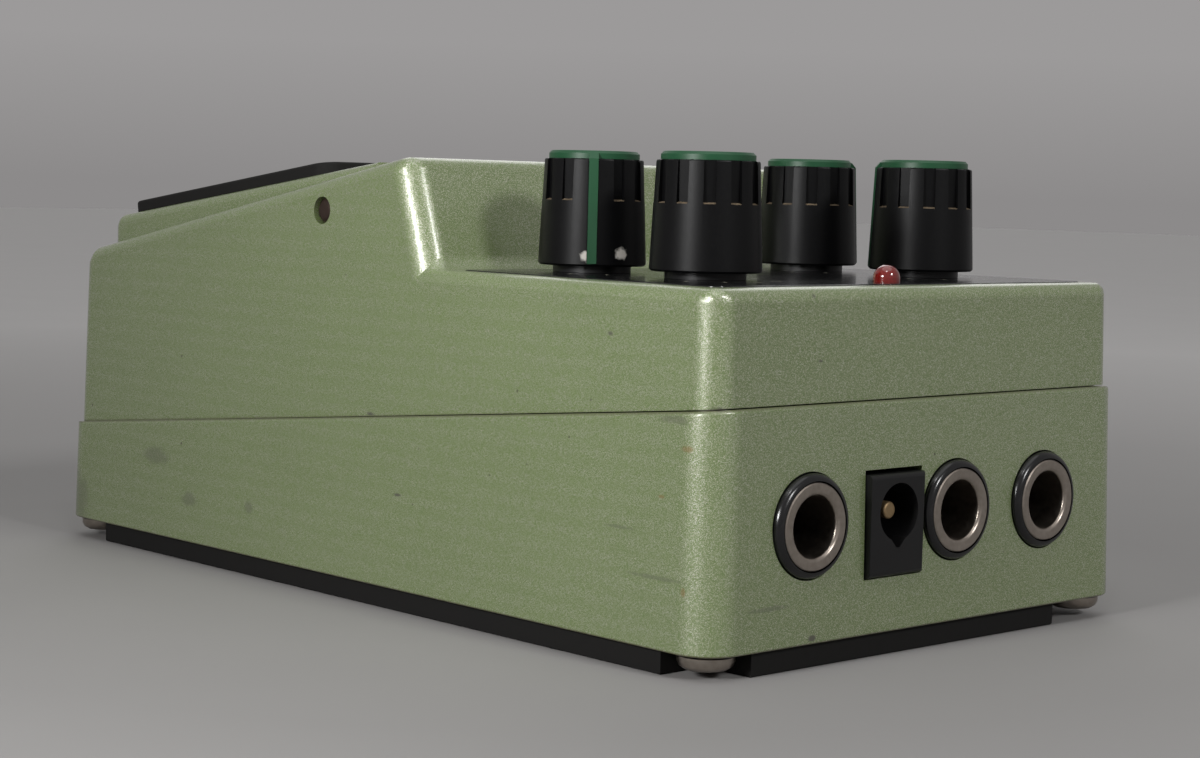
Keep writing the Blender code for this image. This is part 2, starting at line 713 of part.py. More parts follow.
def build_base(steel, rubber, nickel, moulding):
    """Bottom plate, mat, battery door and the four corner screws."""
    inset = PLATE_INSET + FIT
    plan = rounded_rectangle(CASE_WIDTH - 2 * inset, CASE_LENGTH - 2 * inset,
                             LOWER_CORNER - PLATE_INSET, (0, MIDDLE_Y))
    plate = add_part("bottom_plate", outline_mesh("bottom_plate", plan, BASE_Z,
                                                  BASE_Z + PLATE), steel)
    door_middle = DOOR_FRONT_Y + DOOR_LENGTH / 2
    low, high = BASE_Z - OVERRUN, BASE_Z + PLATE + OVERRUN
    opening = box("door_opening", (DOOR_WIDTH + 2 * FIT, DOOR_LENGTH + 2 * FIT, high - low),
                  (0, door_middle, (low + high) / 2))
    boolean(plate, add_cutter("door_opening", opening))
    holes = screw_holes("plate_holes", low, (high, high))
    boolean(plate, add_cutter("plate_holes", joined("plate_holes", holes)))
    posts = []
    for side in (-1, 1):
        for end in (BOARD_REAR_Y - POST, BOARD_REAR_Y - MAIN_LENGTH + POST):
            posts.append(cylinder("board_post", POST, BASE_Z + PLATE / 2, MAIN_TOP - BOARD - FIT,
                                  centre=(side * (BOARD_WIDTH / 2 - POST), end, 0),
                                  sides=COARSE))
    for index, post in enumerate(posts):
        boolean(plate, add_cutter(f"board_post_{index + 1}", post), "UNION")

    left, right = MAT_LEFT - CASE_WIDTH / 2, CASE_WIDTH / 2 - MAT_EDGE
    front, rear = FRONT_Y + MAT_FRONT, REAR_Y - MAT_EDGE
    mat = add_part("rubber_mat", box("rubber_mat", (right - left, rear - front, MAT),
                                     ((left + right) / 2, (front + rear) / 2, MAT / 2)), rubber)
    cuts = [box("mat_notch", (2 * MAT_NOTCH, 2 * MAT_NOTCH, MAT + 2 * OVERRUN), (x, y, MAT / 2))
            for x in (left, right) for y in (front, rear)]
    window = rounded_rectangle(DOOR_WIDTH + 2 * DOOR_SWING_ROOM,
                               DOOR_LENGTH + 2 * DOOR_SWING_ROOM, DOOR_CORNER,
                               (0, door_middle))
    cuts.append(outline_mesh("mat_window", window, -OVERRUN, MAT + OVERRUN))
    boolean(mat, add_cutter("mat_cuts", joined("mat_cuts", cuts)))

    half = DOOR / 2
    lid_section = [(-half * math.sin(math.pi * step / 8), half * math.cos(math.pi * step / 8))
                   for step in range(9)]
    lid_section += [(DOOR_LENGTH - half, -half), (DOOR_LENGTH - half, half)]
    hinge = add_frame("battery_door_hinge",
                      location=(0, DOOR_FRONT_Y + half, DOOR_Z))
    door = add_part("battery_door", side_profile("battery_door", lid_section,
                                                 DOOR_WIDTH / 2 - FIT),
                    moulding, parent=hinge)
    grip = box("door_grip", (GRIP_WIDTH, GRIP_LENGTH, 2 * GRIP_DEPTH),
               (0, DOOR_LENGTH - half - GRIP_LENGTH, -half))
    boolean(door, add_cutter("door_grip", grip, parent=hinge))

    head = SCREW_HEAD / 2
    for index, (side, y) in enumerate((side, y) for side in (-1, 1) for y in SCREW_YS):
        top = parting_z(y) + SEAM + SCREW_BITE
        under = BASE_Z - FIT
        shank = SCREW_SHANK / 2
        crown = [(head * share, under - SCREW_HEAD_HEIGHT * rise)
                 for share, rise in SCREW_CROWN_SHARES]
        profile = [(0, top), (shank - SLIP, top), (shank, top - SLIP), (shank, under),
                   (head, under)] + crown
        screw = turned(f"base_screw_{index + 1}", profile, nickel, COARSE,
                       location=(side * SCREW_X, y, 0))
        slots = [box("screw_slot", size, (0, 0, under - SCREW_HEAD_HEIGHT)) for size in (
            (head, SCREW_SHANK / 4, SCREW_HEAD_HEIGHT),
            (SCREW_SHANK / 4, head, SCREW_HEAD_HEIGHT))]
        for slot in slots:
            boolean(screw, add_cutter(f"screw_slot_{index + 1}", slot,
                                      location=(side * SCREW_X, y, 0)))


def switch_frame():
    """The foot switch stands square to the well's floor."""
    existing = bpy.data.objects.get("switch_frame")
    if existing:
        return existing
    y = PIN_Y - SWITCH_FROM_PIN
    return add_frame("switch_frame", location=(0, y, well_z(y)), turn=(TOP_FALL, 0, 0))


def pusher_drop():
    """Height over the well's floor of the pusher under the treadle, along the switch."""
    y = PIN_Y - SWITCH_FROM_PIN
    under = treadle_z(y) - TREADLE_SHEET / math.cos(TREADLE_FALL)
    return (under - well_z(y)) * math.cos(TOP_FALL) - TREADLE_SHEET


def build_treadle(paint, rubber, steel):
    """Pressed treadle with its ears, the pad on it and the hinge pin."""
    front = WELL_FRONT_Y + TREADLE_GAP
    rear = WELL_REAR_Y - TREADLE_GAP - FIT
    ear = PIN_Y - EAR_LENGTH
    corners = [
        (rear, PIN_Z - EAR),
        (rear, treadle_z(rear)),
        (front, treadle_z(front)),
        (front, treadle_z(front) - SKIRT),
        (ear - EAR, treadle_z(ear) - SKIRT),
        (ear, PIN_Z - EAR),
    ]
    hinge = add_frame("treadle_hinge", location=(0, PIN_Y, PIN_Z))
    corners = [(y - PIN_Y, z - PIN_Z) for y, z in corners]
    mesh = side_profile("treadle_plate", corners, WELL_HALF - TREADLE_GAP)
    weigh_edges(mesh, corners, (0, 0, TREADLE_NOSE, 0, 0, 0),
                (0, TREADLE_ROUND, TREADLE_CORNER, 0, 0, 0), TREADLE_NOSE)
    bm = bmesh.new()
    bm.from_mesh(mesh)
    bm.normal_update()
    open_faces = [face for face in bm.faces if face.normal.z < -0.2 or face.normal.y > 0.9]
    bmesh.ops.delete(bm, geom=open_faces, context="FACES")
    bm.to_mesh(mesh)
    bm.free()
    plate = add_part("treadle_plate", mesh, paint, parent=hinge)
    bevel_by_weight(plate, TREADLE_NOSE, 3)
    sheet = plate.modifiers.new("sheet", "SOLIDIFY")
    sheet.thickness = TREADLE_SHEET
    sheet.offset = -1
    sheet.use_even_offset = True

    frame = switch_frame()
    drop = pusher_drop()
    pusher = cylinder("pusher", PUSHER, drop, drop + 2 * TREADLE_SHEET, sides=COARSE)
    boolean(plate, add_cutter("pusher", pusher, parent=frame), "UNION")
    seat_y = PIN_Y - SPRING_FROM_PIN
    spring_top = well_z(seat_y) + SPRING_SEAT_HEIGHT + SPRING_LENGTH + 2 * FIT
    cup = cylinder("spring_cup", SPRING_SEAT, spring_top,
                   treadle_z(seat_y) - TREADLE_SHEET / 2, centre=(0, seat_y, 0), sides=COARSE)
    boolean(plate, add_cutter("spring_cup", cup), "UNION")
    ears = cylinder("ear_holes", PIN + 2 * SLIP, -CASE_WIDTH / 2, CASE_WIDTH / 2, "X",
                    (0, PIN_Y, PIN_Z), COARSE)
    boolean(plate, add_cutter("ear_holes", ears))

    half_pin = CASE_WIDTH / 2 - STEP - lean(PIN_Z) - PIN_SUNK
    pin = cylinder("hinge_pin", PIN, -half_pin, half_pin, "X", sides=COARSE)
    smooth(pin)
    add_part("hinge_pin", pin, steel, location=(0, PIN_Y, PIN_Z))

    pad_front = front + PAD_FRONT
    pad_rear = PIN_Y - PAD_REAR
    pad_length = (pad_rear - pad_front) / math.cos(TREADLE_FALL)
    pad_width = 2 * (WELL_HALF - TREADLE_GAP - PAD_EDGE)
    plan = rounded_rectangle(pad_width, pad_length, PAD_CORNER)
    pad_y = (pad_front + pad_rear) / 2
    pad_frame = add_frame("pad_frame", location=(0, pad_y - PIN_Y, treadle_z(pad_y) - PIN_Z),
                          turn=(TREADLE_FALL, 0, 0), parent=hinge)
    pad = add_part("treadle_pad", outline_mesh("treadle_pad", plan, GLUE, GLUE + PAD), rubber,
                   parent=pad_frame)
    bevel_by_angle(pad, PAD_ROUND, 2)
    pitch = (pad_width - 2 * GROOVE_MARGIN) / GROOVES
    grooves = [box("groove", (GROOVE_WIDTH, pad_length - 2 * GROOVE_MARGIN, 2 * GROOVE_DEPTH),
                   ((index - (GROOVES - 1) / 2) * pitch, 0, GLUE + PAD))
               for index in range(GROOVES)]
    boolean(pad, add_cutter("grooves", joined("grooves", grooves), parent=pad_frame))


def spring_points():
    """Centre line of the return spring: one unbroken helix with closed ends."""
    radius = (SPRING_DIAMETER - SPRING_WIRE) / 2
    climb = SPRING_LENGTH - SPRING_WIRE
    count = SPRING_TURNS * SPRING_STEPS
    points = []
    for step in range(count + 1):
        angle = 2 * math.pi * step / SPRING_STEPS
        share = step / count
        points.append(Vector((radius * math.cos(angle), radius * math.sin(angle),
                              SPRING_WIRE / 2 + climb * share)))
    return points


def least_gap(points, diameter):
    """Least clearance between turns of a tube that follows these points."""
    turn = SPRING_STEPS // 2
    apart = [(first - second).length for index, first in enumerate(points)
             for second in points[index + turn:]]
    return min(apart) - diameter


def build_switch(black, steel, wire):
    """Foot switch through the well's floor, its nut and plunger, and the return spring."""
    frame = switch_frame()
    body = add_part("switch_body", box("switch_body", (SWITCH_BODY, SWITCH_BODY, SWITCH_DEPTH),
                                       (0, 0, -WELL_FLOOR * math.cos(TOP_FALL) - FIT
                                        - SWITCH_DEPTH / 2)), black, parent=frame)
    bushing = cylinder("switch_bushing", SWITCH_BUSHING, -WELL_FLOOR - SWITCH_DEPTH / 2,
                       SWITCH_BUSHING_HEIGHT, sides=COARSE)
    boolean(body, add_cutter("switch_bushing", bushing, parent=frame), "UNION")
    depth = PLUNGER_REACH + PLUNGER_TRAVEL
    bore = cylinder("switch_bore", PLUNGER + 2 * SLIP, SWITCH_BUSHING_HEIGHT - depth,
                    SWITCH_BUSHING_HEIGHT + OVERRUN, sides=COARSE)
    boolean(body, add_cutter("switch_bore", bore, parent=frame))

    nut = add_part("switch_nut", hexagon("switch_nut", SWITCH_NUT, FIT, FIT + SWITCH_NUT_HEIGHT),
                   steel, parent=frame)
    nut_bore = cylinder("switch_nut_bore", SWITCH_BUSHING + 2 * SLIP, -OVERRUN,
                        SWITCH_NUT_HEIGHT + OVERRUN, sides=COARSE)
    boolean(nut, add_cutter("switch_nut_bore", nut_bore, parent=frame))

    head_top = pusher_drop() - FIT
    head_low = head_top - PLUNGER_HEAD_HEIGHT
    stem_low = SWITCH_BUSHING_HEIGHT - PLUNGER_REACH
    profile = [(0, head_top)] + round_over(PLUNGER_HEAD / 2, head_top, PLUNGER_HEAD_HEIGHT / 3)
    profile += [(PLUNGER_HEAD / 2, head_low), (PLUNGER / 2, head_low), (PLUNGER / 2, stem_low),
                (0, stem_low)]
    turned("switch_plunger", profile, steel, COARSE, parent=frame)

    curve = bpy.data.curves.new("return_spring", "CURVE")
    curve.dimensions = "3D"
    curve.bevel_depth = SPRING_WIRE / 2
    curve.bevel_resolution = 1
    curve.use_fill_caps = True
    points = spring_points()
    spline = curve.splines.new("POLY")
    spline.points.add(len(points) - 1)
    for point, where in zip(spline.points, points):
        point.co = (*where, 1)
    curve.materials.append(wire)
    spring = bpy.data.objects.new("return_spring", curve)
    PARTS.objects.link(spring)
    print(f"return_spring: least gap {least_gap(points, SPRING_WIRE) / MM:.2f} mm")
    seat_y = PIN_Y - SPRING_FROM_PIN
    place(spring, (0, seat_y, well_z(seat_y) + SPRING_SEAT_HEIGHT + FIT))


def build_panel(gloss):
    deck_length = REAR_Y - STEP - lean(DECK_Z) - FOOT_Y
    plan = rounded_rectangle(CASE_WIDTH - 2 * (STEP + lean(DECK_Z) + PANEL_MARGIN),
                             deck_length - 2 * PANEL_MARGIN, PANEL_CORNER,
                             (0, FOOT_Y + deck_length / 2))
    panel = add_part("control_panel", outline_mesh("control_panel", plan, PANEL_TOP - PANEL,
                                                   PANEL_TOP), gloss)
    low, high = PANEL_TOP - PANEL - OVERRUN, PANEL_TOP + OVERRUN
    holes = [cylinder("panel_hole", POT_BUSHING + 2 * SLIP, low, high,
                      centre=(*knob_place(name)[:2], 0), sides=COARSE) for name in KNOBS]
    holes.append(cylinder("panel_hole", LED_DIAMETER + 2 * SLIP, low, high,
                          centre=(0, REAR_Y - LED_FROM_REAR, 0), sides=COARSE))
    boolean(panel, add_cutter("panel_holes", joined("panel_holes", holes)))


def stripe_section(clearance):
    """Side view of the pointer stripe, from the cap over the shoulder to the skirt."""
    grow = Vector((0, clearance))
    base = KNOB_BASE / 2
    shoulder = KNOB_SHOULDER / 2
    cap_low = KNOB_HEIGHT - CAP_SUNK
    cap_high = cap_low + CAP_HEIGHT - CAP_ROUND
    inner = STRIPE_DEPTH + clearance
    return [
        (base + STRIPE_PROUD, STRIPE_FOOT - grow.y),
        (shoulder + STRIPE_PROUD, KNOB_HEIGHT),
        (CAP / 2 + STRIPE_PROUD, cap_high),
        (CAP / 2 - CAP_HEIGHT, cap_high),
        (CAP / 2 - CAP_HEIGHT, cap_low + SLIP - grow.y),
        (shoulder - inner, cap_low + SLIP - grow.y),
        (base - inner, STRIPE_FOOT - grow.y),
    ]


def build_knob_mesh(black):
    """Moulded knob: tapered skirt, pockets round the top and a slot for the stripe."""
    base, shoulder = KNOB_BASE / 2, KNOB_SHOULDER / 2
    seat = KNOB_HEIGHT - CAP_SUNK
    bore = SHAFT / 2 + SLIP
    profile = [(0, seat), (CAP / 2 + SLIP / 2, seat), (CAP / 2 + SLIP / 2, KNOB_HEIGHT)]
    profile += [(shoulder - KNOB_CHAMFER, KNOB_HEIGHT), (shoulder, KNOB_HEIGHT - KNOB_CHAMFER),
                (base, KNOB_CHAMFER), (base - KNOB_CHAMFER, 0), (KNOB_CAVITY / 2, 0),
                (KNOB_CAVITY / 2, KNOB_CAVITY_HEIGHT), (bore, KNOB_CAVITY_HEIGHT),
                (bore, seat - CAP_HEIGHT), (0, seat - CAP_HEIGHT)]
    knob = turned("knob_pattern", profile, black)
    pockets = []
    for index in range(1, POCKETS):
        mesh = box("pocket", (POCKET_WIDTH, 2 * POCKET_DEPTH, 2 * POCKET_HEIGHT),
                   (0, shoulder, KNOB_HEIGHT))
        mesh.transform(Matrix.Rotation(2 * math.pi * index / POCKETS, 4, "Z"))
        pockets.append(mesh)
    boolean(knob, add_cutter("pockets", joined("pockets", pockets)))
    slot = outline_mesh("stripe_slot", stripe_section(SLIP / 2 + GLUE / 2),
                        -STRIPE_WIDTH / 2 - GLUE, STRIPE_WIDTH / 2 + GLUE, SIDE_ON)
    boolean(knob, add_cutter("stripe_slot", slot))
    return baked(knob), knob


def build_cap_mesh(green):
    """Green cap disc with the stripe that runs down the knob's side."""
    low = KNOB_HEIGHT - CAP_SUNK + SLIP
    high = low - SLIP + CAP_HEIGHT
    profile = [(0, high)] + round_over(CAP / 2, high, CAP_ROUND, 2) + [(CAP / 2, low), (0, low)]
    cap = turned("cap_pattern", profile, green)
    leg = outline_mesh("stripe", stripe_section(0), -STRIPE_WIDTH / 2, STRIPE_WIDTH / 2, SIDE_ON)
    boolean(cap, add_cutter("stripe", leg), "UNION")
    return baked(cap), cap


def build_pot_mesh(steel):
    """Potentiometer: square body under the deck and a bored bushing through it."""
    pot = add_part("pot_pattern", box("pot_pattern", (POT_WIDTH, POT_LENGTH, POT_HEIGHT),
                                      (0, 0, POT_TOP - POT_HEIGHT / 2)), steel)
    bushing = cylinder("pot_bushing", POT_BUSHING, POT_TOP - POT_HEIGHT / 2,
                       PANEL_TOP + FIT + POT_NUT_HEIGHT, sides=COARSE)
    boolean(pot, add_cutter("pot_bushing", bushing), "UNION")
    bore = cylinder("pot_bore", POT_BORE, PANEL_TOP - SHAFT_JOURNAL_DEPTH - FIT,
                    PANEL_TOP + POT_NUT_HEIGHT + OVERRUN, sides=COARSE)
    boolean(pot, add_cutter("pot_bore", bore))
    return baked(pot), pot


def build_controls(black, green, steel, nut_black):
    """Four knobs with caps, each on its potentiometer's shaft."""
    patterns = {"knob": build_knob_mesh(black), "cap": build_cap_mesh(green),
                "pot": build_pot_mesh(steel)}
    journal = POT_BORE / 2 - SLIP
    shoulder = PANEL_TOP + FIT + POT_NUT_HEIGHT + FIT
    shaft_top = KNOB_Z + KNOB_HEIGHT - CAP_SUNK - CAP_HEIGHT - FIT
    shaft = turned("shaft_pattern", [
        (0, shaft_top), (SHAFT / 2, shaft_top), (SHAFT / 2, shoulder), (journal, shoulder),
        (journal, PANEL_TOP - SHAFT_JOURNAL_DEPTH), (0, PANEL_TOP - SHAFT_JOURNAL_DEPTH),
    ], steel, COARSE)
    patterns["shaft"] = (baked(shaft), shaft)
    nut = add_part("nut_pattern", hexagon("nut_pattern", POT_NUT, PANEL_TOP + FIT,
                                          PANEL_TOP + FIT + POT_NUT_HEIGHT), nut_black)
    nut_bore = cylinder("nut_bore", POT_BUSHING + 2 * SLIP, PANEL_TOP - OVERRUN,
                        PANEL_TOP + POT_NUT_HEIGHT + OVERRUN, sides=COARSE)
    boolean(nut, add_cutter("nut_bore", nut_bore))
    patterns["nut"] = (baked(nut), nut)
    for name in KNOBS:
        x, y, turn = knob_place(name)
        for kind, (mesh, _) in patterns.items():
            rides = kind in ("knob", "cap")
            add_part(f"{kind}_{name}", mesh, None, location=(x, y, KNOB_Z if rides else 0),
                     turn=(0, 0, -turn if kind != "pot" and kind != "nut" else 0))
    for _, pattern in patterns.values():
        bpy.data.objects.remove(pattern)


def build_led(lens):
    """Red lamp in the deck, with its flange below and its legs down to the board."""
    top = DECK_Z + LED_RISE
    radius = LED_DIAMETER / 2
    dome = [(0, top)] + round_over(radius, top, radius * LED_DOME_SHARE, 4)
    flange_top = DECK_UNDER - FIT
    profile = dome + [(radius, flange_top), (LED_FLANGE / 2, flange_top),
                      (LED_FLANGE / 2, flange_top - LED_FLANGE_HEIGHT),
                      (0, flange_top - LED_FLANGE_HEIGHT)]
    led = turned("led", profile, lens, COARSE, location=(0, REAR_Y - LED_FROM_REAR, 0))
    for index, side in enumerate((-1, 1)):
        leg = cylinder("led_leg", LED_LEG, CONTROL_TOP + FIT, flange_top - LED_FLANGE_HEIGHT / 2,
                       centre=(side * LED_LEG_PITCH / 2, REAR_Y - LED_FROM_REAR, 0), sides=8)
        boolean(led, add_cutter(f"led_leg_{index + 1}", leg), "UNION")


def build_sockets(black, nickel, brass):
    """Three sockets with their bushes, and the square inlet with its pin."""
    wall_y = REAR_Y - lean(JACK_Z)
    face_y = wall_y + BUSH_PROUD
    facing = (-math.pi / 2, 0, 0)
    for name, x in JACKS.items():
        centre = (x, 0, JACK_Z)
        body_front = WALL_INNER_Y - FIT
        body = add_part(f"jack_body_{name}",
                        box("jack_body", (JACK_WIDTH, JACK_DEPTH, JACK_TALL),
                            (0, body_front - JACK_DEPTH / 2, 0)), black, location=centre)
        collar = turned_cutter("collar", [(0, wall_y + COLLAR_PROUD)]
                               + round_over(COLLAR / 2, wall_y + COLLAR_PROUD, COLLAR_ROUND)
                               + [(COLLAR / 2, body_front - JACK_REST),
                                  (0, body_front - JACK_REST)], centre, facing)
        boolean(body, collar, "UNION")
        bush_rear = face_y - BUSH_LENGTH
        seat = cylinder("bush_seat", BUSH + 2 * SLIP, bush_rear - SLIP, face_y + OVERRUN, "Y",
                        sides=COARSE)
        boolean(body, add_cutter("bush_seat", seat, location=centre))
        bore = cylinder("socket_bore", SOCKET_BORE, body_front - JACK_DEPTH + JACK_REST,
                        face_y + OVERRUN, "Y", sides=COARSE)
        boolean(body, add_cutter("socket_bore", bore, location=centre))
        inner, outer = SOCKET_BORE / 2, BUSH / 2
        turned(f"bush_{name}", [
            (inner, bush_rear), (inner, face_y - SOCKET_MOUTH), (inner + SOCKET_MOUTH, face_y),
            (outer - BUSH_CHAMFER, face_y), (outer, face_y - BUSH_CHAMFER), (outer, bush_rear),
            (inner, bush_rear),
        ], nickel, FINE, location=centre, turn=facing)

    inlet_z = JACK_Z - INLET_DROP
    inlet_face = wall_y + INLET_PROUD
    inlet = add_part("dc_inlet", box("dc_inlet", (INLET_WIDTH, INLET_DEPTH, INLET_TALL),
                                     (0, -INLET_DEPTH / 2, 0)), black,
                     location=(INLET_X, inlet_face, inlet_z))
    bevel_by_angle(inlet, INLET_ROUND, 2)
    bore_z = INLET_BORE_RISE
    cuts = [
        cylinder("inlet_bore", INLET_BORE, -INLET_BORE_DEPTH, OVERRUN, "Y", (0, 0, bore_z)),
        box("inlet_key", (KEY_WIDTH, INLET_BORE_DEPTH + OVERRUN, INLET_BORE / 2 + KEY_DEPTH),
            (0, (OVERRUN - INLET_BORE_DEPTH) / 2,
             bore_z - (INLET_BORE / 2 + KEY_DEPTH) / 2)),
        cylinder("inlet_pin_root", INLET_PIN + 2 * SLIP,
                 -INLET_BORE_DEPTH - INLET_PIN_ROOT - FIT, 0, "Y", (0, 0, bore_z), COARSE),
    ]
    for cut in cuts:
        boolean(inlet, add_cutter(cut.name, cut, location=(INLET_X, inlet_face, inlet_z)))
    tip = INLET_PIN / 2
    turned("dc_pin", [(0, -INLET_PIN_SUNK)] + round_over(tip, -INLET_PIN_SUNK, tip / 2, 2)
           + [(tip, -INLET_BORE_DEPTH - INLET_PIN_ROOT), (0, -INLET_BORE_DEPTH - INLET_PIN_ROOT)],
           brass, COARSE, location=(INLET_X, inlet_face, inlet_z + bore_z), turn=facing)


def turned_cutter(name, profile, location, turn):
    obj = turned(name, profile, None, FINE, location=location, turn=turn)
    PARTS.objects.unlink(obj)
    CUTTERS.objects.link(obj)
    obj.hide_render = True
    obj.display_type = "WIRE"
    return obj


def build_boards(board_green, chip_black, can, ribbon):
    """Main board under the sockets, control board under the pots, and what they carry."""
    rear = BOARD_REAR_Y
    main_y = rear - MAIN_LENGTH / 2
    add_part("main_board", box("main_board", (BOARD_WIDTH, MAIN_LENGTH, BOARD),
                               (0, main_y, MAIN_TOP - BOARD / 2)), board_green)
    control_y = rear - CONTROL_LENGTH / 2
    add_part("control_board", box("control_board", (BOARD_WIDTH, CONTROL_LENGTH, BOARD),
                                  (0, control_y, CONTROL_TOP - BOARD / 2)), board_green)
    link_y = rear - CONTROL_LENGTH + LINK_SETBACK
    low, high = MAIN_TOP + FIT, CONTROL_TOP - BOARD - FIT
    add_part("board_link", box("board_link", (LINK_WIDTH, LINK, high - low),
                               (0, link_y, (low + high) / 2)), ribbon)
    chip_y = link_y - LINK - CHIP_WIDTH
    chip = add_part("delay_chip", box("delay_chip", (CHIP_LENGTH, CHIP_WIDTH, CHIP_HEIGHT),
                                      (0, chip_y, MAIN_TOP + FIT + CHIP_HEIGHT / 2)), chip_black)
    bevel_by_angle(chip, CHIP_CHAMFER, 1)
    memory_y = (link_y + WALL_INNER_Y - FIT - JACK_DEPTH) / 2
    memory = add_part("memory_chip", box("memory_chip", (MEMORY_LENGTH, MEMORY_WIDTH,
                                                         MEMORY_HEIGHT),
                                         (0, memory_y, MAIN_TOP + FIT + MEMORY_HEIGHT / 2)),
                      chip_black)
    bevel_by_angle(memory, CHIP_CHAMFER, 1)
    top = MAIN_TOP + FIT + CAPACITOR_HEIGHT
    turned("filter_capacitor", [(0, top)] + round_over(CAPACITOR / 2, top, CAPACITOR_ROUND, 2)
           + [(CAPACITOR / 2, MAIN_TOP + FIT), (0, MAIN_TOP + FIT)], can, COARSE,
           location=(BOARD_WIDTH / 2 - CAPACITOR, memory_y, 0))


def build_battery(case_metal, snap_black):
    """9 V battery on its door, studs to the right, with the snap over them."""
    middle = (BATTERY_X, BATTERY_Y, BATTERY_BOTTOM + BATTERY_HEIGHT / 2)
    battery = add_part("battery", box("battery", (BATTERY_LENGTH, BATTERY_WIDTH,
                                                  BATTERY_HEIGHT)), case_metal,
                       location=middle)
    bevel_by_angle(battery, BATTERY_ROUND, 2)
    end = BATTERY_LENGTH / 2
    snap = add_part("battery_snap", box("battery_snap", (SNAP, BATTERY_WIDTH - 2 * BATTERY_ROUND,
                                                         BATTERY_HEIGHT - 2 * BATTERY_ROUND),
                                        (end + FIT + SNAP / 2, 0, 0)), snap_black,
                    location=middle)
    for index, side in enumerate((-1, 1)):
        centre = (0, side * BATTERY_STUD_PITCH / 2, 0)
        stud = cylinder("battery_stud", BATTERY_STUD, end - OVERRUN, end + BATTERY_STUD_HEIGHT,
                        "X", centre, COARSE)
        boolean(battery, add_cutter(f"battery_stud_{index + 1}", stud, location=middle), "UNION")
        socket = cylinder("snap_socket", BATTERY_STUD + 2 * FIT, end,
                          end + BATTERY_STUD_HEIGHT + FIT, "X", centre, COARSE)
        boolean(snap, add_cutter(f"snap_socket_{index + 1}", socket, location=middle))


def shade_round_pieces():
    for obj in PARTS.objects:
        if obj.type == "MESH" and obj.modifiers.get("turning"):
            obj.data.shade_smooth()


def main():
    global PARTS, CUTTERS
    clear_scene()
    PARTS = new_collection("digital_delay_pedal")
    CUTTERS = new_collection("cutters")
    CUTTERS.hide_render = True
    paint = finish("green_metallic_paint", (0.21, 0.27, 0.14), 0.4, 0.3)
    rubber = finish("black_rubber", (0.012, 0.012, 0.012), 0.75)
    steel = finish("zinc_plated_steel", (0.45, 0.44, 0.42), 0.4, 1.0)
    dark_steel = finish("dark_steel", (0.08, 0.07, 0.06), 0.5, 1.0)
    nickel = finish("nickel_plate", (0.55, 0.5, 0.46), 0.3, 1.0)
    brass = finish("brass", (0.6, 0.42, 0.18), 0.35, 1.0)
    knob_black = finish("knob_black", (0.012, 0.012, 0.015), 0.35)
    cap_green = finish("cap_green", (0.012, 0.14, 0.06), 0.4)
    moulding = finish("black_moulding", (0.015, 0.015, 0.016), 0.45)
    gloss = finish("panel_gloss_black", (0.01, 0.01, 0.011), 0.15)
    lens = finish("led_red", (0.35, 0.005, 0.008), 0.15)
    board_green = finish("circuit_board", (0.03, 0.16, 0.06), 0.45)
    can = finish("capacitor_sleeve", (0.02, 0.03, 0.09), 0.4)
    grey = finish("ribbon_grey", (0.3, 0.3, 0.3), 0.6)
    battery_coat = finish("battery_jacket", (0.1, 0.1, 0.11), 0.35, 0.6)

    build_upper_case(paint)
    build_lower_case(paint)
    build_base(steel, rubber, nickel, moulding)
    build_treadle(paint, rubber, dark_steel)
    build_switch(moulding, steel, steel)
    build_panel(gloss)
    build_controls(knob_black, cap_green, steel, moulding)
    build_led(lens)
    build_sockets(moulding, nickel, brass)
    build_boards(board_green, moulding, can, grey)
    build_battery(battery_coat, moulding)
    shade_round_pieces()


main()
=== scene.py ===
# %% [markdown]
# # A digital delay pedal, dressed over its CAD frame
#
# The object is a compact effects unit for the floor. Two die-cast zinc castings in sage green
# enamel form its body. The upper one carries a glossy black deck with four knobs, a steep ridge,
# and a long well in which a pressed treadle swings. The lower one is a wedge with the sockets in
# its rear face. The CAD model gives every piece its place. This script gives each its finish,
# and models again the pieces whose edges, recesses and mouths catch the light.

# %% Load the CAD frame
import json
import math

import bmesh
import bpy
from mathutils import Matrix, Vector


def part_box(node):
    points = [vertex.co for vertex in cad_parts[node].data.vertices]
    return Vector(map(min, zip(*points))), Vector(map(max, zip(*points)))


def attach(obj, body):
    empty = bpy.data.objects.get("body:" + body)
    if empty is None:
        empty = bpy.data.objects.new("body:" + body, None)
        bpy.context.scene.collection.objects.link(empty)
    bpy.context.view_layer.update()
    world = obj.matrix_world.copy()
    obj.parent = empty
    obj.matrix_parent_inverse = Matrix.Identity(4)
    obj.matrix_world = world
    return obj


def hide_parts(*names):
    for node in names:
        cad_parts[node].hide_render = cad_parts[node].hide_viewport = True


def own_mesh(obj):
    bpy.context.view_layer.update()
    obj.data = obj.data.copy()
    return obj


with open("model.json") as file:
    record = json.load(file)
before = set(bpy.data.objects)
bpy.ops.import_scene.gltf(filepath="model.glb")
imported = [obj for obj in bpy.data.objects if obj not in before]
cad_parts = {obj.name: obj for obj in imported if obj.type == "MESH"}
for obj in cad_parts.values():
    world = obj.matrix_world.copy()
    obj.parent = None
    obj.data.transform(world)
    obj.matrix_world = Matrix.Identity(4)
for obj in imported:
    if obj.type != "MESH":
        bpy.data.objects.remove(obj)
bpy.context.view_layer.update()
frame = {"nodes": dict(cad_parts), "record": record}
MM = 0.001
print("CAD nodes:", len(frame["nodes"]))

# %% [markdown]
# ## Camera
#
# The photograph looks at the socket face and the long side from low down, close to eye level with
# the deck. The camera stands at the place that fits the corners of the castings, the sockets and
# the knobs in the photograph, with a slight roll, as a hand-held camera has.

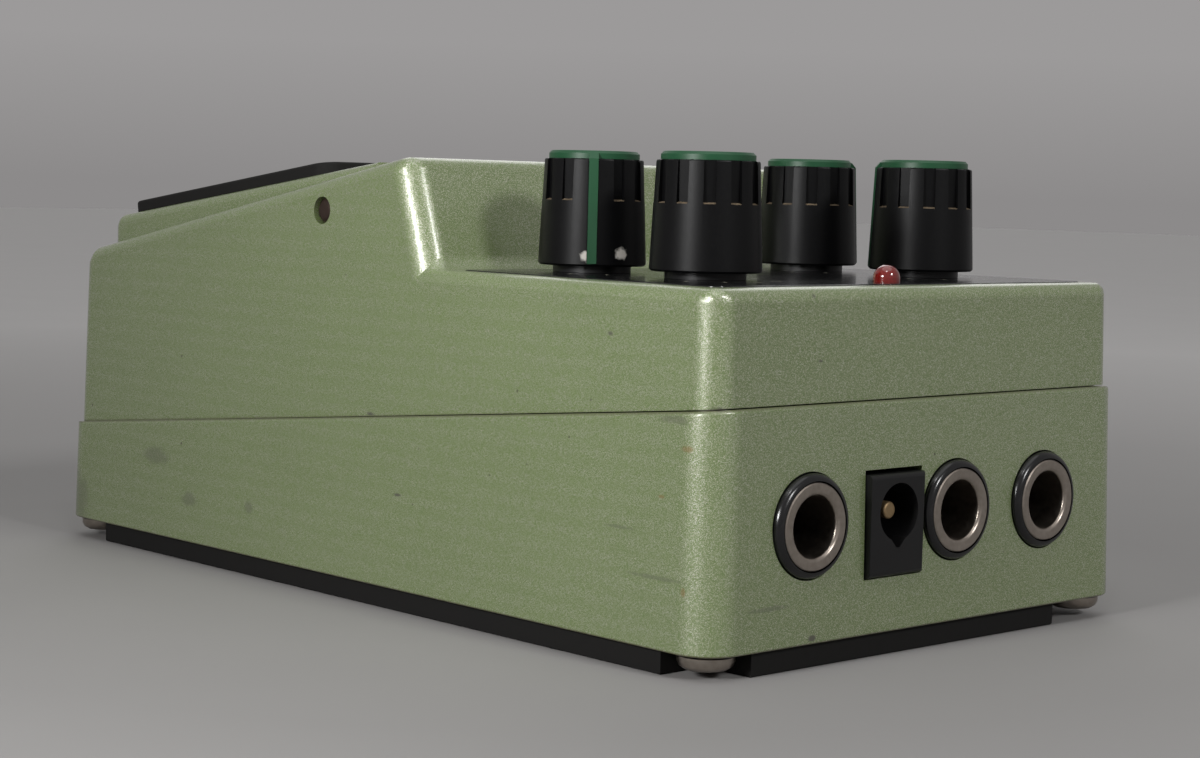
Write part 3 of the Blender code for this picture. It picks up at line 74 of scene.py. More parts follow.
# %% Camera at the photograph's place
CAMERA_PLACE = Vector((198.42, 221.89, 48.97)) * MM
CAMERA_AZIMUTH = math.radians(137.199)
CAMERA_ELEVATION = math.radians(4.627)
CAMERA_ROLL = math.radians(1.43)
LENS = 70.19

back = Vector((math.sin(CAMERA_AZIMUTH) * math.cos(CAMERA_ELEVATION),
               -math.cos(CAMERA_AZIMUTH) * math.cos(CAMERA_ELEVATION),
               math.sin(CAMERA_ELEVATION)))
right = Vector((0, 0, 1)).cross(back).normalized()
up = back.cross(right)
camera_x = math.cos(CAMERA_ROLL) * right + math.sin(CAMERA_ROLL) * up
camera_y = math.cos(CAMERA_ROLL) * up - math.sin(CAMERA_ROLL) * right
camera_data = bpy.data.cameras.new("camera")
camera_data.lens = LENS
camera_data.clip_start = 0.01
camera = bpy.data.objects.new("camera", camera_data)
bpy.context.scene.collection.objects.link(camera)
camera.matrix_world = Matrix.Translation(CAMERA_PLACE) @ Matrix(
    (camera_x, camera_y, back)).transposed().to_4x4()
bpy.context.scene.camera = camera
bpy.context.scene.view_settings.view_transform = "Standard"
print("camera at", [round(value / MM, 1) for value in CAMERA_PLACE], "mm")

# %% [markdown]
# ## Working by hand in code
#
# Each piece below starts as a primitive at its size and place, and is shaped in edit mode with the
# operators that a modeller would use. These helpers only select and call those operators.

# %% Helpers: selecting, starting and shaping a piece
NEAR = 0.02 * MM
TURNS = {"X": (0, math.pi / 2, 0), "Y": (-math.pi / 2, 0, 0), "Z": (0, 0, 0)}


def leave_edit():
    if bpy.context.mode != "OBJECT":
        bpy.ops.object.mode_set(mode="OBJECT")
    bpy.ops.object.select_all(action="DESELECT")


def only(obj):
    leave_edit()
    obj.select_set(True)
    bpy.context.view_layer.objects.active = obj


def settle(obj, name):
    """Names a new piece and applies its place, turn and size to its mesh."""
    obj.name = obj.data.name = name
    only(obj)
    bpy.ops.object.transform_apply(location=True, rotation=True, scale=True)
    return obj


def block(name, low, high):
    leave_edit()
    low, high = Vector(low), Vector(high)
    bpy.ops.mesh.primitive_cube_add(size=1, location=(low + high) / 2, scale=high - low)
    return settle(bpy.context.object, name)


def rod(name, diameter, start, length, axis="Z", sides=64):
    """A cylinder that runs from start along an axis."""
    leave_edit()
    reach = {"X": (length, 0, 0), "Y": (0, length, 0), "Z": (0, 0, length)}[axis]
    bpy.ops.mesh.primitive_cylinder_add(vertices=sides, radius=diameter / 2, depth=length,
                                        location=Vector(start) + Vector(reach) / 2,
                                        rotation=TURNS[axis])
    return settle(bpy.context.object, name)


def turned(name, profile, place=(0, 0, 0), axis="Z", sides=72):
    """A circle extruded and scaled along a profile of (radius, height) points, as on a lathe."""
    leave_edit()
    radius, height = profile[0]
    bpy.ops.mesh.primitive_circle_add(vertices=sides, radius=radius, location=(0, 0, height))
    obj = bpy.context.object
    bpy.ops.object.mode_set(mode="EDIT")
    bpy.ops.mesh.select_all(action="SELECT")
    for (last, low), (radius, height) in zip(profile, profile[1:]):
        bpy.ops.mesh.extrude_edges_move(TRANSFORM_OT_translate={"value": (0, 0, height - low)})
        bpy.ops.transform.resize(value=(radius / last, radius / last, 1),
                                 center_override=(0, 0, height))
    bpy.ops.mesh.select_all(action="SELECT")
    if profile[0] == profile[-1]:
        bpy.ops.mesh.remove_doubles(threshold=NEAR / 10)
    else:
        bpy.ops.mesh.fill_holes(sides=0)
    bpy.ops.mesh.normals_make_consistent(inside=False)
    settle(obj, name)
    obj.rotation_euler = TURNS[axis]
    obj.location = place
    return settle(obj, name)


def pick(obj, kind, test):
    """Opens obj with only the vertices, edges or faces that pass the test selected."""
    only(obj)
    bpy.ops.object.mode_set(mode="EDIT")
    bpy.ops.mesh.select_mode(type=kind)
    bpy.ops.mesh.select_all(action="DESELECT")
    shape = bmesh.from_edit_mesh(obj.data)
    for item in {"VERT": shape.verts, "EDGE": shape.edges, "FACE": shape.faces}[kind]:
        if test(item):
            item.select_set(True)
    shape.select_flush_mode()
    bmesh.update_edit_mesh(obj.data)


def middle(edge):
    return (edge.verts[0].co + edge.verts[1].co) / 2


def along(edge, axis):
    """How far an edge runs along an axis, as a share of its length."""
    run = edge.verts[1].co - edge.verts[0].co
    return abs(run[axis]) / run.length


def carry(obj, start, end):
    """Moves the vertices at start to end."""
    start, end = Vector(start), Vector(end)
    pick(obj, "VERT", lambda vertex: (vertex.co - start).length < NEAR)
    bpy.ops.transform.translate(value=end - start)


def slice_across(obj, place, normal):
    """Adds a loop of edges where a plane crosses the piece."""
    pick(obj, "FACE", lambda face: True)
    bpy.ops.mesh.bisect(plane_co=place, plane_no=normal)


def merge_flats(obj):
    pick(obj, "FACE", lambda face: True)
    bpy.ops.mesh.dissolve_limited(angle_limit=math.radians(0.2))


def round_edges(obj, width, segments, test):
    pick(obj, "EDGE", test)
    bpy.ops.mesh.bevel(offset=width, segments=segments, affect="EDGES", clamp_overlap=False)


def apply(obj, kind, **settings):
    only(obj)
    modifier = obj.modifiers.new(kind, kind)
    for name, value in settings.items():
        setattr(modifier, name, value)
    bpy.ops.object.modifier_apply(modifier=modifier.name)


def combine(obj, tools, operation="DIFFERENCE"):
    """Cuts the tools from obj, or adds them to it, one by one, and removes them."""
    for tool in tools:
        leave_edit()
        apply(obj, "BOOLEAN", operation=operation, solver="EXACT", object=tool)
        bpy.data.objects.remove(tool)


def twin(obj, name, shift):
    """A copy with its own mesh, moved by shift."""
    only(obj)
    bpy.ops.object.duplicate(linked=False)
    copy = bpy.context.object
    copy.location = Vector(copy.location) + Vector(shift)
    return settle(copy, name)


def shade(obj, angle=35):
    """Smooth shading that keeps hard edges and lets large faces lead the small ones."""
    only(obj)
    bpy.ops.object.shade_smooth_by_angle(angle=math.radians(angle))
    apply(obj, "WEIGHTED_NORMAL", keep_sharp=True, weight=60)


def report(obj):
    low = [min(v.co[axis] for v in obj.data.vertices) for axis in range(3)]
    high = [max(v.co[axis] for v in obj.data.vertices) for axis in range(3)]
    size = " x ".join(f"{(b - a) / MM:.1f}" for a, b in zip(low, high))
    print(f"{obj.name}: {size} mm, {len(obj.data.polygons)} faces")


# %% [markdown]
# ## The upper casting
#
# A die leaves a casting with draft on its walls and a radius on each edge, and the enamel softens
# both further. The shape is one block: sliced at the foot and the crest of the ridge, its corners
# carried to their heights, its walls leaned in, and each kind of edge weighted before one bevel
# rounds them all. The well, the deck's recess and the holes are cut from it, as cores would.

# %% Measures of the castings
HALF = 35.0 * MM
REAR, FRONT = 61.930 * MM, -62.570 * MM
BASE, DECK, CREST = 2.6 * MM, 39.5 * MM, 52.4 * MM
FOOT_Y, CREST_Y = 14.630 * MM, 10.030 * MM
LEDGE, SEAM = 0.8 * MM, 0.05 * MM
SEAM_REAR, SEAM_FRONT = 27.5 * MM, 15.4 * MM
FALL = math.tan(math.radians(10.7))
SLANT = math.tan(math.radians(1.2))
OVERRUN = 2.0 * MM


def seam(y):
    """Height of the parting line between the castings."""
    return SEAM_FRONT + (SEAM_REAR - SEAM_FRONT) * (y - FRONT) / (REAR - FRONT)


def top(y):
    """Height of the sloped top."""
    return CREST - FALL * (CREST_Y - y)


def lean(z):
    """How far the draft has moved a wall in at a height."""
    return SLANT * (z - BASE)


def weigh(obj, outline, across, running, widest):
    """Weights the edges at each outline point, and those that run on from it at both sides."""
    count = len(outline)
    for index, (y, z) in enumerate(outline):
        next_y, next_z = outline[(index + 1) % count]
        spots = [(0, y, z, across[index])]
        spots += [(1, (y + next_y) / 2, (z + next_z) / 2, running[index])]
        for side, spot_y, spot_z, width in spots:
            if width:
                place = Vector((0, spot_y, spot_z))
                pick(obj, "EDGE", lambda edge: side == (abs(middle(edge).x) > MM) and (
                    middle(edge) * Vector((0, 1, 1)) - place).length < 20 * NEAR)
                bpy.ops.transform.edge_bevelweight(value=width / widest)
    apply(obj, "BEVEL", limit_method="WEIGHT", width=widest, segments=8,
          use_clamp_overlap=False)


print(f"parting line {seam(FRONT) / MM:.1f} mm high in front, {seam(REAR) / MM:.1f} mm behind")

# %% The upper casting's outside
case_half = HALF - LEDGE
case_rear = REAR - LEDGE
case_front = FRONT + LEDGE
upper = block("top_casting", (-case_half, case_front, BASE), (case_half, case_rear, CREST))
for y in (FOOT_Y, CREST_Y):
    slice_across(upper, (0, y, 0), (0, 1, 0))
front_top = top(case_front + lean(top(case_front)))
outline = [
    (case_rear - lean(seam(REAR)), seam(REAR) + SEAM),
    (case_rear - lean(DECK), DECK),
    (FOOT_Y, DECK),
    (CREST_Y, CREST),
    (case_front + lean(front_top), front_top),
    (case_front + lean(seam(FRONT)), seam(FRONT) + SEAM),
]
print(upper.name, len(outline), "outline points")

# %% The upper casting's edges
# Carry the block's corners to the outline, from the rear bottom over the ridge to the front
starts = [(case_rear, BASE), (case_rear, CREST), (FOOT_Y, CREST), (CREST_Y, CREST),
          (case_front, CREST), (case_front, BASE)]
for (y, z), (new_y, new_z) in zip(starts, outline):
    for side in (-1, 1):
        carry(upper, (side * case_half, y, z), (side * (case_half - lean(new_z)), new_y, new_z))
for y in (FOOT_Y, CREST_Y):
    for side in (-1, 1):
        new_z = seam(y) + SEAM
        carry(upper, (side * case_half, y, BASE), (side * (case_half - lean(new_z)), y, new_z))
merge_flats(upper)
CORNER, EDGE, CREST_ROUND = 3.0 * MM, 1.6 * MM, 1.6 * MM
FOOT_ROUND, NOSE = 1.8 * MM, 3.4 * MM
weigh(upper, outline, (0, EDGE, FOOT_ROUND, CREST_ROUND, NOSE, 0),
      (CORNER, EDGE, CORNER, EDGE, CORNER, 0), NOSE)
report(upper)

# %% The upper casting's hollow, well and holes
WALL, ROOF, RIDGE_WALL = 2.4 * MM, 2.5 * MM, 3.2 * MM
WELL_DEPTH, WELL_FLOOR, WELL_CORNER = 10.0 * MM, 2.0 * MM, 1.0 * MM
WELL_HALF = 31.2 * MM
WELL_REAR, WELL_FRONT = 1.130 * MM, -58.070 * MM
BOSS, SCREW_HOLE, SCREW_DEPTH = 8.0 * MM, 3.6 * MM, 10.7 * MM
SCREWS = [(side * 31.0 * MM, y) for side in (-1, 1) for y in (-58.570 * MM, 57.930 * MM)]


def bosses(name):
    return [rod(name, BOSS, (x, y, BASE - OVERRUN), CREST, sides=32) for x, y in SCREWS]


hollow = block("hollow", (WALL - case_half, case_front + WALL, BASE - OVERRUN),
               (case_half - WALL, case_rear - WALL, DECK - ROOF))
ridge = block("ridge_hollow", (WALL - case_half, WELL_REAR + WALL, DECK - ROOF - OVERRUN),
              (case_half - WALL, FOOT_Y - RIDGE_WALL, CREST - RIDGE_WALL))
for side in (-1, 1):
    x = side * (case_half - WALL)
    carry(ridge, (x, WELL_REAR + WALL, CREST - RIDGE_WALL),
          (x, WELL_REAR + WALL, top(WELL_REAR) - RIDGE_WALL))
    carry(ridge, (x, FOOT_Y - RIDGE_WALL, CREST - RIDGE_WALL),
          (x, CREST_Y - RIDGE_WALL, CREST - RIDGE_WALL))
combine(hollow, [ridge], "UNION")
under_well = block("under_well", (-HALF, case_front - OVERRUN, BASE),
                   (HALF, WELL_REAR + WALL, CREST))
for side in (-1, 1):
    for y in (case_front - OVERRUN, WELL_REAR + WALL):
        carry(under_well, (side * HALF, y, BASE),
              (side * HALF, y, top(y) - WELL_DEPTH - WELL_FLOOR))
combine(hollow, [under_well] + bosses("boss"))
well = block("well", (-WELL_HALF, WELL_FRONT, BASE), (WELL_HALF, WELL_REAR, CREST + OVERRUN))
for side in (-1, 1):
    for y in (WELL_FRONT, WELL_REAR):
        carry(well, (side * WELL_HALF, y, BASE), (side * WELL_HALF, y, top(y) - WELL_DEPTH))
round_edges(well, WELL_CORNER, 4, lambda edge: along(edge, 2) > 0.99)
combine(upper, [hollow, well])
report(upper)

# %% The deck's recess and the small holes
PANEL_MARGIN, PANEL_CORNER, PANEL_TOP, PANEL = 2.6 * MM, 1.5 * MM, 39.6 * MM, 0.4 * MM
GLUE, SLIP = 0.1 * MM, 0.15 * MM
KNOB_X = 18.1 * MM
KNOB_ROWS = (43.530 * MM, 25.330 * MM)
POT_HOLE, LAMP_HOLE = 7.3 * MM, 3.3 * MM
LAMP_Y = 53.730 * MM
PIN_Y, PIN_Z, PIN_HOLE = -5.870 * MM, 45.696 * MM, 3.3 * MM
SEAT_Y, SEAT, SEAT_HEIGHT = -22.470 * MM, 11.0 * MM, 1.6 * MM
SWITCH_Y, SWITCH_HOLE = -36.870 * MM, 7.3 * MM
panel_half = case_half - lean(DECK) - PANEL_MARGIN
panel_ys = (FOOT_Y + PANEL_MARGIN, case_rear - lean(DECK) - PANEL_MARGIN)
seat = rod("seat", SEAT, (0, SEAT_Y, top(SEAT_Y) - WELL_DEPTH - WELL_FLOOR),
           WELL_FLOOR + SEAT_HEIGHT, sides=32)
combine(upper, [seat], "UNION")
recess = block("recess", (-panel_half - GLUE, panel_ys[0] - GLUE, PANEL_TOP - PANEL - GLUE),
               (panel_half + GLUE, panel_ys[1] + GLUE, DECK + OVERRUN))
round_edges(recess, PANEL_CORNER, 6, lambda edge: along(edge, 2) > 0.99)
holes = [rod("pot_hole", POT_HOLE, (side * KNOB_X, y, DECK - ROOF - OVERRUN), ROOF + OVERRUN,
             sides=32) for side in (-1, 1) for y in KNOB_ROWS]
holes.append(rod("lamp_hole", LAMP_HOLE, (0, LAMP_Y, DECK - ROOF - OVERRUN), ROOF + OVERRUN,
                 sides=32))
holes.append(rod("pin_hole", PIN_HOLE, (-HALF, PIN_Y, PIN_Z), 2 * HALF, "X", 32))
holes += [rod("screw_hole", SCREW_HOLE, (x, y, BASE), seam(y) - BASE + SCREW_DEPTH, sides=24)
          for x, y in SCREWS]
SWITCH_TILT = math.radians(10.7)
switch_floor = Vector((0, SWITCH_Y, top(SWITCH_Y) - WELL_DEPTH))


def switch_rod(name, width, low, high):
    """A rod along the foot switch's axis, which stands square on the well's floor."""
    leave_edit()
    axis = Vector((0, -math.sin(SWITCH_TILT), math.cos(SWITCH_TILT)))
    bpy.ops.mesh.primitive_cylinder_add(
        vertices=32, radius=width / 2, depth=high - low,
        location=switch_floor + axis * (low + high) / 2, rotation=(SWITCH_TILT, 0, 0))
    return settle(bpy.context.object, name)


holes.append(switch_rod("switch_hole", SWITCH_HOLE, -2 * WELL_FLOOR, WELL_FLOOR))
combine(upper, [recess] + holes)
shade(upper)
report(upper)

# %% [markdown]
# ## The lower casting
#
# The lower casting is a wedge that stands 0.8 mm proud of the upper one, so a fine ledge runs
# round the pedal. Its vertical corners have the largest radius, and the ledge a small one that
# shows as a bright line.

# %% The lower casting
LOWER_CORNER, LEDGE_ROUND, LOWER_WALL = 4.2 * MM, 0.45 * MM, 3.0 * MM
RIM_ROUND = 0.3 * MM
PLATE, PLATE_INSET = 1.2 * MM, 1.3 * MM
lower = block("bottom_casting", (-HALF, FRONT, BASE), (HALF, REAR, CREST))
wedge = [(REAR, BASE), (REAR - lean(seam(REAR)), seam(REAR)),
         (FRONT + lean(seam(FRONT)), seam(FRONT)), (FRONT, BASE)]
for (y, z), (new_y, new_z) in zip([(REAR, CREST), (FRONT, CREST)], wedge[1:3]):
    for side in (-1, 1):
        carry(lower, (side * HALF, y, z), (side * (HALF - lean(new_z)), new_y, new_z))
round_edges(lower, LOWER_CORNER, 12, lambda edge: along(edge, 2) > 0.9)
round_edges(lower, LEDGE_ROUND, 5, lambda edge: middle(edge).z > seam(middle(edge).y) - NEAR)
round_edges(lower, RIM_ROUND, 4, lambda edge: middle(edge).z < BASE + NEAR)
hollow = block("lower_hollow", (LOWER_WALL - HALF, FRONT + LOWER_WALL, BASE - OVERRUN),
               (HALF - LOWER_WALL, REAR - LOWER_WALL, CREST))
combine(hollow, bosses("lower_boss"))
rebate = block("rebate", (PLATE_INSET - HALF, FRONT + PLATE_INSET, BASE - OVERRUN),
               (HALF - PLATE_INSET, REAR - PLATE_INSET, BASE + PLATE + 0.3 * MM))
round_edges(rebate, LOWER_CORNER - PLATE_INSET, 6, lambda edge: along(edge, 2) > 0.99)
JACKS = {"input": 20.1 * MM, "output": -3.5 * MM, "direct": -19.1 * MM}
JACK_Z, COLLAR = 15.0 * MM, 11.0 * MM
INLET_X, INLET_Z = 6.9 * MM, 14.2 * MM
INLET_WIDTH, INLET_TALL, INLET_OVER = 9.0 * MM, 11.0 * MM, 0.5 * MM
wall_back = REAR - LOWER_WALL - OVERRUN
holes = [rod("socket_hole", COLLAR + 2 * SLIP, (x, wall_back, JACK_Z), 4 * OVERRUN, "Y")
         for x in JACKS.values()]
holes.append(block("inlet_hole", (INLET_X - INLET_WIDTH / 2 - SLIP, wall_back,
                                  INLET_Z - INLET_TALL / 2 - SLIP),
                   (INLET_X + INLET_WIDTH / 2 + SLIP, REAR + OVERRUN,
                    INLET_Z + INLET_TALL / 2 + INLET_OVER)))
holes += [rod("screw_hole", SCREW_HOLE, (x, y, BASE - OVERRUN), CREST, sides=24)
          for x, y in SCREWS]
combine(lower, [hollow, rebate] + holes)
shade(lower)
report(lower)

# %% [markdown]
# ## The treadle and its pad
#
# The treadle is a sheet pressed over a former: its rim is rolled down on three sides and it is
# open behind. It is made the same way here, as one skin bent at its edges and then given the
# sheet's thickness. The pad is a moulded rubber sheet with eleven lengthwise grooves.

# %% The pressed treadle
SHEET, SKIRT, EAR, EAR_LENGTH = 1.2 * MM, 6.0 * MM, 3.2 * MM, 7.0 * MM
TREADLE_GAP, TREADLE_RISE = 0.4 * MM, 5.0 * MM
TREADLE_ROUND, TREADLE_CORNER, TREADLE_NOSE = 1.3 * MM, 2.2 * MM, 2.2 * MM
TREADLE_FALL = math.radians(7.63)
treadle_half = WELL_HALF - TREADLE_GAP
treadle_ys = (-57.670 * MM, 0.430 * MM)


def treadle_top(y):
    return PIN_Z + TREADLE_RISE + math.tan(TREADLE_FALL) * (y - PIN_Y)


treadle = block("treadle_shell", (-treadle_half, treadle_ys[0], BASE),
                (treadle_half, treadle_ys[1], CREST))
ear_y = PIN_Y - EAR_LENGTH
slope_y = ear_y - EAR
for y in (slope_y, ear_y):
    slice_across(treadle, (0, y, 0), (0, 1, 0))
for side in (-1, 1):
    x = side * treadle_half
    for y in (treadle_ys[0], slope_y, ear_y, treadle_ys[1]):
        carry(treadle, (x, y, CREST), (x, y, treadle_top(y)))
    for y, z in ((treadle_ys[0], treadle_top(treadle_ys[0]) - SKIRT),
                 (slope_y, treadle_top(ear_y) - SKIRT), (ear_y, PIN_Z - EAR),
                 (treadle_ys[1], PIN_Z - EAR)):
        carry(treadle, (x, y, BASE), (x, y, z))
pick(treadle, "FACE", lambda face: face.normal.z < -0.2 or face.normal.y > 0.9)
bpy.ops.mesh.delete(type="FACE")
merge_flats(treadle)
for test, width in (
        (lambda edge: along(edge, 1) > 0.9 and middle(edge).z > PIN_Z - SKIRT, TREADLE_ROUND),
        (lambda edge: along(edge, 2) > 0.9 and middle(edge).y < FRONT / 2, TREADLE_CORNER),
        (lambda edge: along(edge, 0) > 0.9 and middle(edge).y < FRONT / 2
         and middle(edge).z > treadle_top(treadle_ys[0]) - MM, TREADLE_NOSE)):
    pick(treadle, "EDGE", lambda edge: test(edge) and len(edge.link_faces) == 2)
    bpy.ops.transform.edge_bevelweight(value=width / TREADLE_NOSE)
apply(treadle, "BEVEL", limit_method="WEIGHT", width=TREADLE_NOSE, segments=6,
      use_clamp_overlap=False)
apply(treadle, "SOLIDIFY", thickness=SHEET, offset=-1, use_even_offset=True)
PUSHER, CUP = 6.0 * MM, 11.0 * MM
cup_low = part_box("return_spring")[1][2] + 0.3 * MM
cup = rod("cup", CUP, (0, SEAT_Y, cup_low), treadle_top(SEAT_Y) - SHEET / 2 - cup_low, sides=32)
under = treadle_top(SWITCH_Y) - SHEET / math.cos(TREADLE_FALL)
drop = (under - switch_floor.z) * math.cos(SWITCH_TILT) - SHEET
pusher = switch_rod("pusher", PUSHER, drop, drop + 2 * SHEET)
ears = rod("ear_holes", PIN_HOLE, (-HALF, PIN_Y, PIN_Z), 2 * HALF, "X", 32)
combine(treadle, [cup, pusher], "UNION")
combine(treadle, [ears])
shade(treadle)
report(treadle)

# %% The return spring, wound from round wire
WIRE, WIRE_SIDES = 0.9 * MM, 12
SPRING_TURNS, SPRING_STEPS, PRESS_ANGLE = 4, 24, math.radians(2.9)
spring_low, spring_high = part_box("return_spring")
spring_length = spring_high[2] - spring_low[2]
coil = (spring_high[0] - spring_low[0] - WIRE) / 2
leave_edit()
bpy.ops.mesh.primitive_circle_add(vertices=WIRE_SIDES, radius=WIRE / 2,
                                  location=(coil, 0, WIRE / 2), rotation=TURNS["Y"])
spring = settle(bpy.context.object, "coil_spring")
apply(spring, "SCREW", angle=math.tau, screw_offset=(spring_length - WIRE) / SPRING_TURNS,
      iterations=SPRING_TURNS, steps=SPRING_STEPS, render_steps=SPRING_STEPS,
      use_normal_calculate=True)
pick(spring, "EDGE", lambda edge: len(edge.link_faces) == 1)
bpy.ops.mesh.fill_holes(sides=0)
bpy.ops.mesh.select_all(action="SELECT")
bpy.ops.mesh.normals_make_consistent(inside=False)
leave_edit()
spring.location = (0, SEAT_Y, spring_low[2])
settle(spring, "coil_spring")
shade(spring, 60)
report(spring)

# %% The hinge pin, domed at both ends
PIN_ROD, PIN_IN, PIN_DOME = 3.0 * MM, 0.25 * MM, 0.3 * MM
pin_end = case_half - lean(PIN_Z) - PIN_IN
pin = turned("hinge_rod", [
    (PIN_ROD / 4, -pin_end), (PIN_ROD / 2 - PIN_DOME, PIN_DOME / 2 - pin_end),
    (PIN_ROD / 2, PIN_DOME * 1.5 - pin_end), (PIN_ROD / 2, pin_end - PIN_DOME * 1.5),
    (PIN_ROD / 2 - PIN_DOME, pin_end - PIN_DOME / 2), (PIN_ROD / 4, pin_end)],
    sides=32)
pin.rotation_euler = TURNS["X"]
pin.location = (0, PIN_Y, PIN_Z)
settle(pin, "hinge_rod")
shade(pin)
report(pin)

# %% The grooved pad
PAD, PAD_EDGE, PAD_CORNER, PAD_ROUND = 1.5 * MM, 1.5 * MM, 2.5 * MM, 0.35 * MM
GROOVES, GROOVE_WIDTH, GROOVE_DEPTH, GROOVE_MARGIN = 11, 1.4 * MM, 0.6 * MM, 3.2 * MM
pad_ys = (-55.170 * MM, -10.870 * MM)
pad_half = treadle_half - PAD_EDGE
pad_length = (pad_ys[1] - pad_ys[0]) / math.cos(TREADLE_FALL)
pad_half_length = pad_length / 2
pad = block("treadle_rubber", (-pad_half, -pad_half_length, GLUE),
            (pad_half, pad_half_length, GLUE + PAD))
round_edges(pad, PAD_CORNER, 8, lambda edge: along(edge, 2) > 0.99)
round_edges(pad, PAD_ROUND, 3, lambda edge: edge.calc_face_angle(0) > 0.8
            and middle(edge).z > GLUE + PAD / 2)
pitch = (2 * pad_half - 2 * GROOVE_MARGIN) / GROOVES
reach = pad_half_length - GROOVE_MARGIN
for index in range(GROOVES):
    x = (index - (GROOVES - 1) / 2) * pitch
    groove = block("groove", (x - GROOVE_WIDTH / 2, -reach, GLUE + PAD - GROOVE_DEPTH),
                   (x + GROOVE_WIDTH / 2, reach, GLUE + PAD + OVERRUN))
    round_edges(groove, GROOVE_WIDTH * 0.45, 4, lambda edge: along(edge, 2) > 0.99)
    combine(pad, [groove])
pad_middle = sum(pad_ys) / 2
pad.rotation_euler = (TREADLE_FALL, 0, 0)
pad.location = (0, pad_middle, treadle_top(pad_middle))
settle(pad, "treadle_rubber")
shade(pad)
report(pad)

# %% [markdown]
# ## The knobs
#
# Each knob is a black moulding with a tapered skirt, twelve finger pockets round its top and a
# separate green disc let into its crown. A green strip runs from the disc down the skirt as the
# pointer. One knob and one disc are turned from profiles, and each is copied to its four places.

# %% One knob and one cap at the centre
KNOB_BASE, KNOB_SHOULDER, KNOB_HEIGHT = 12.3 * MM, 11.3 * MM, 12.0 * MM
KNOB_EDGE, KNOB_CAVITY, KNOB_CAVITY_HEIGHT = 0.22 * MM, 10.3 * MM, 2.6 * MM
CAP, CAP_HEIGHT, CAP_SUNK, CAP_ROUND = 10.3 * MM, 1.2 * MM, 0.3 * MM, 0.3 * MM
POCKETS, POCKET_WIDTH, POCKET_DEPTH, POCKET_HEIGHT = 12, 1.35 * MM, 0.32 * MM, 4.5 * MM
STRIPE, STRIPE_PROUD = 1.05 * MM, 0.05 * MM
SHAFT = 6.0 * MM
base, shoulder = KNOB_BASE / 2, KNOB_SHOULDER / 2
seat_z = KNOB_HEIGHT - CAP_SUNK
cap_seat = CAP / 2 + SLIP / 2
knob = turned("knob", [
    (cap_seat, seat_z), (cap_seat, KNOB_HEIGHT), (shoulder - KNOB_EDGE, KNOB_HEIGHT),
    (shoulder - KNOB_EDGE * 0.3, KNOB_HEIGHT - KNOB_EDGE * 0.3),
    (shoulder, KNOB_HEIGHT - KNOB_EDGE), (base, KNOB_EDGE), (base - KNOB_EDGE, 0),
    (KNOB_CAVITY / 2, 0), (KNOB_CAVITY / 2, KNOB_CAVITY_HEIGHT),
    (SHAFT / 2 + SLIP, KNOB_CAVITY_HEIGHT), (SHAFT / 2 + SLIP, seat_z - CAP_HEIGHT),
], sides=96)
pocket = block("pocket", (-POCKET_WIDTH / 2, shoulder - POCKET_DEPTH, KNOB_HEIGHT - POCKET_HEIGHT),
               (POCKET_WIDTH / 2, shoulder + POCKET_DEPTH, KNOB_HEIGHT + POCKET_HEIGHT))
for side in (-1, 1):
    foot = KNOB_HEIGHT - POCKET_HEIGHT
    carry(pocket, (side * POCKET_WIDTH / 2, shoulder + POCKET_DEPTH, foot),
          (side * POCKET_WIDTH / 2, shoulder + POCKET_DEPTH, foot - POCKET_DEPTH * 0.7))
pockets = []
for index in range(1, POCKETS):
    other = twin(pocket, "pocket_copy", (0, 0, 0))
    other.rotation_euler = (0, 0, 2 * math.pi * index / POCKETS)
    pockets.append(settle(other, "pocket_copy"))
bpy.data.objects.remove(pocket)
combine(knob, pockets)


def stripe(name, half_width, grow):
    """The pointer strip down the skirt: a block whose corners are carried to the taper."""
    foot, crown = 0.3 * MM, seat_z + CAP_HEIGHT - CAP_ROUND
    inner = 0.5 * MM + grow
    bar = block(name, (-half_width, shoulder - inner, foot - grow),
                (half_width, shoulder + STRIPE_PROUD, crown))
    slice_across(bar, (0, 0, seat_z + SLIP - grow), (0, 0, 1))
    slice_across(bar, (0, 0, KNOB_HEIGHT), (0, 0, 1))
    for side in (-1, 1):
        x = side * half_width
        carry(bar, (x, shoulder - inner, foot - grow), (x, base - inner, foot - grow))
        carry(bar, (x, shoulder + STRIPE_PROUD, foot - grow),
              (x, base + STRIPE_PROUD, foot - grow))
        carry(bar, (x, shoulder + STRIPE_PROUD, crown), (x, CAP / 2 + STRIPE_PROUD, crown))
        for z in (KNOB_HEIGHT, crown):
            carry(bar, (x, shoulder - inner, z), (x, CAP / 2 - CAP_HEIGHT, z))
    return bar


combine(knob, [stripe("stripe_slot", STRIPE / 2 + GLUE / 2, SLIP / 2 + GLUE / 2)])
shade(knob, 30)
report(knob)
cap_low = seat_z + SLIP
cap_high = seat_z + CAP_HEIGHT
cap = turned("cap", [(CAP / 2, cap_low), (CAP / 2, cap_high - CAP_ROUND),
                     (CAP / 2 - CAP_ROUND, cap_high)], sides=96)
combine(cap, [stripe("stripe", STRIPE / 2, 0)], "UNION")
shade(cap, 30)
report(cap)

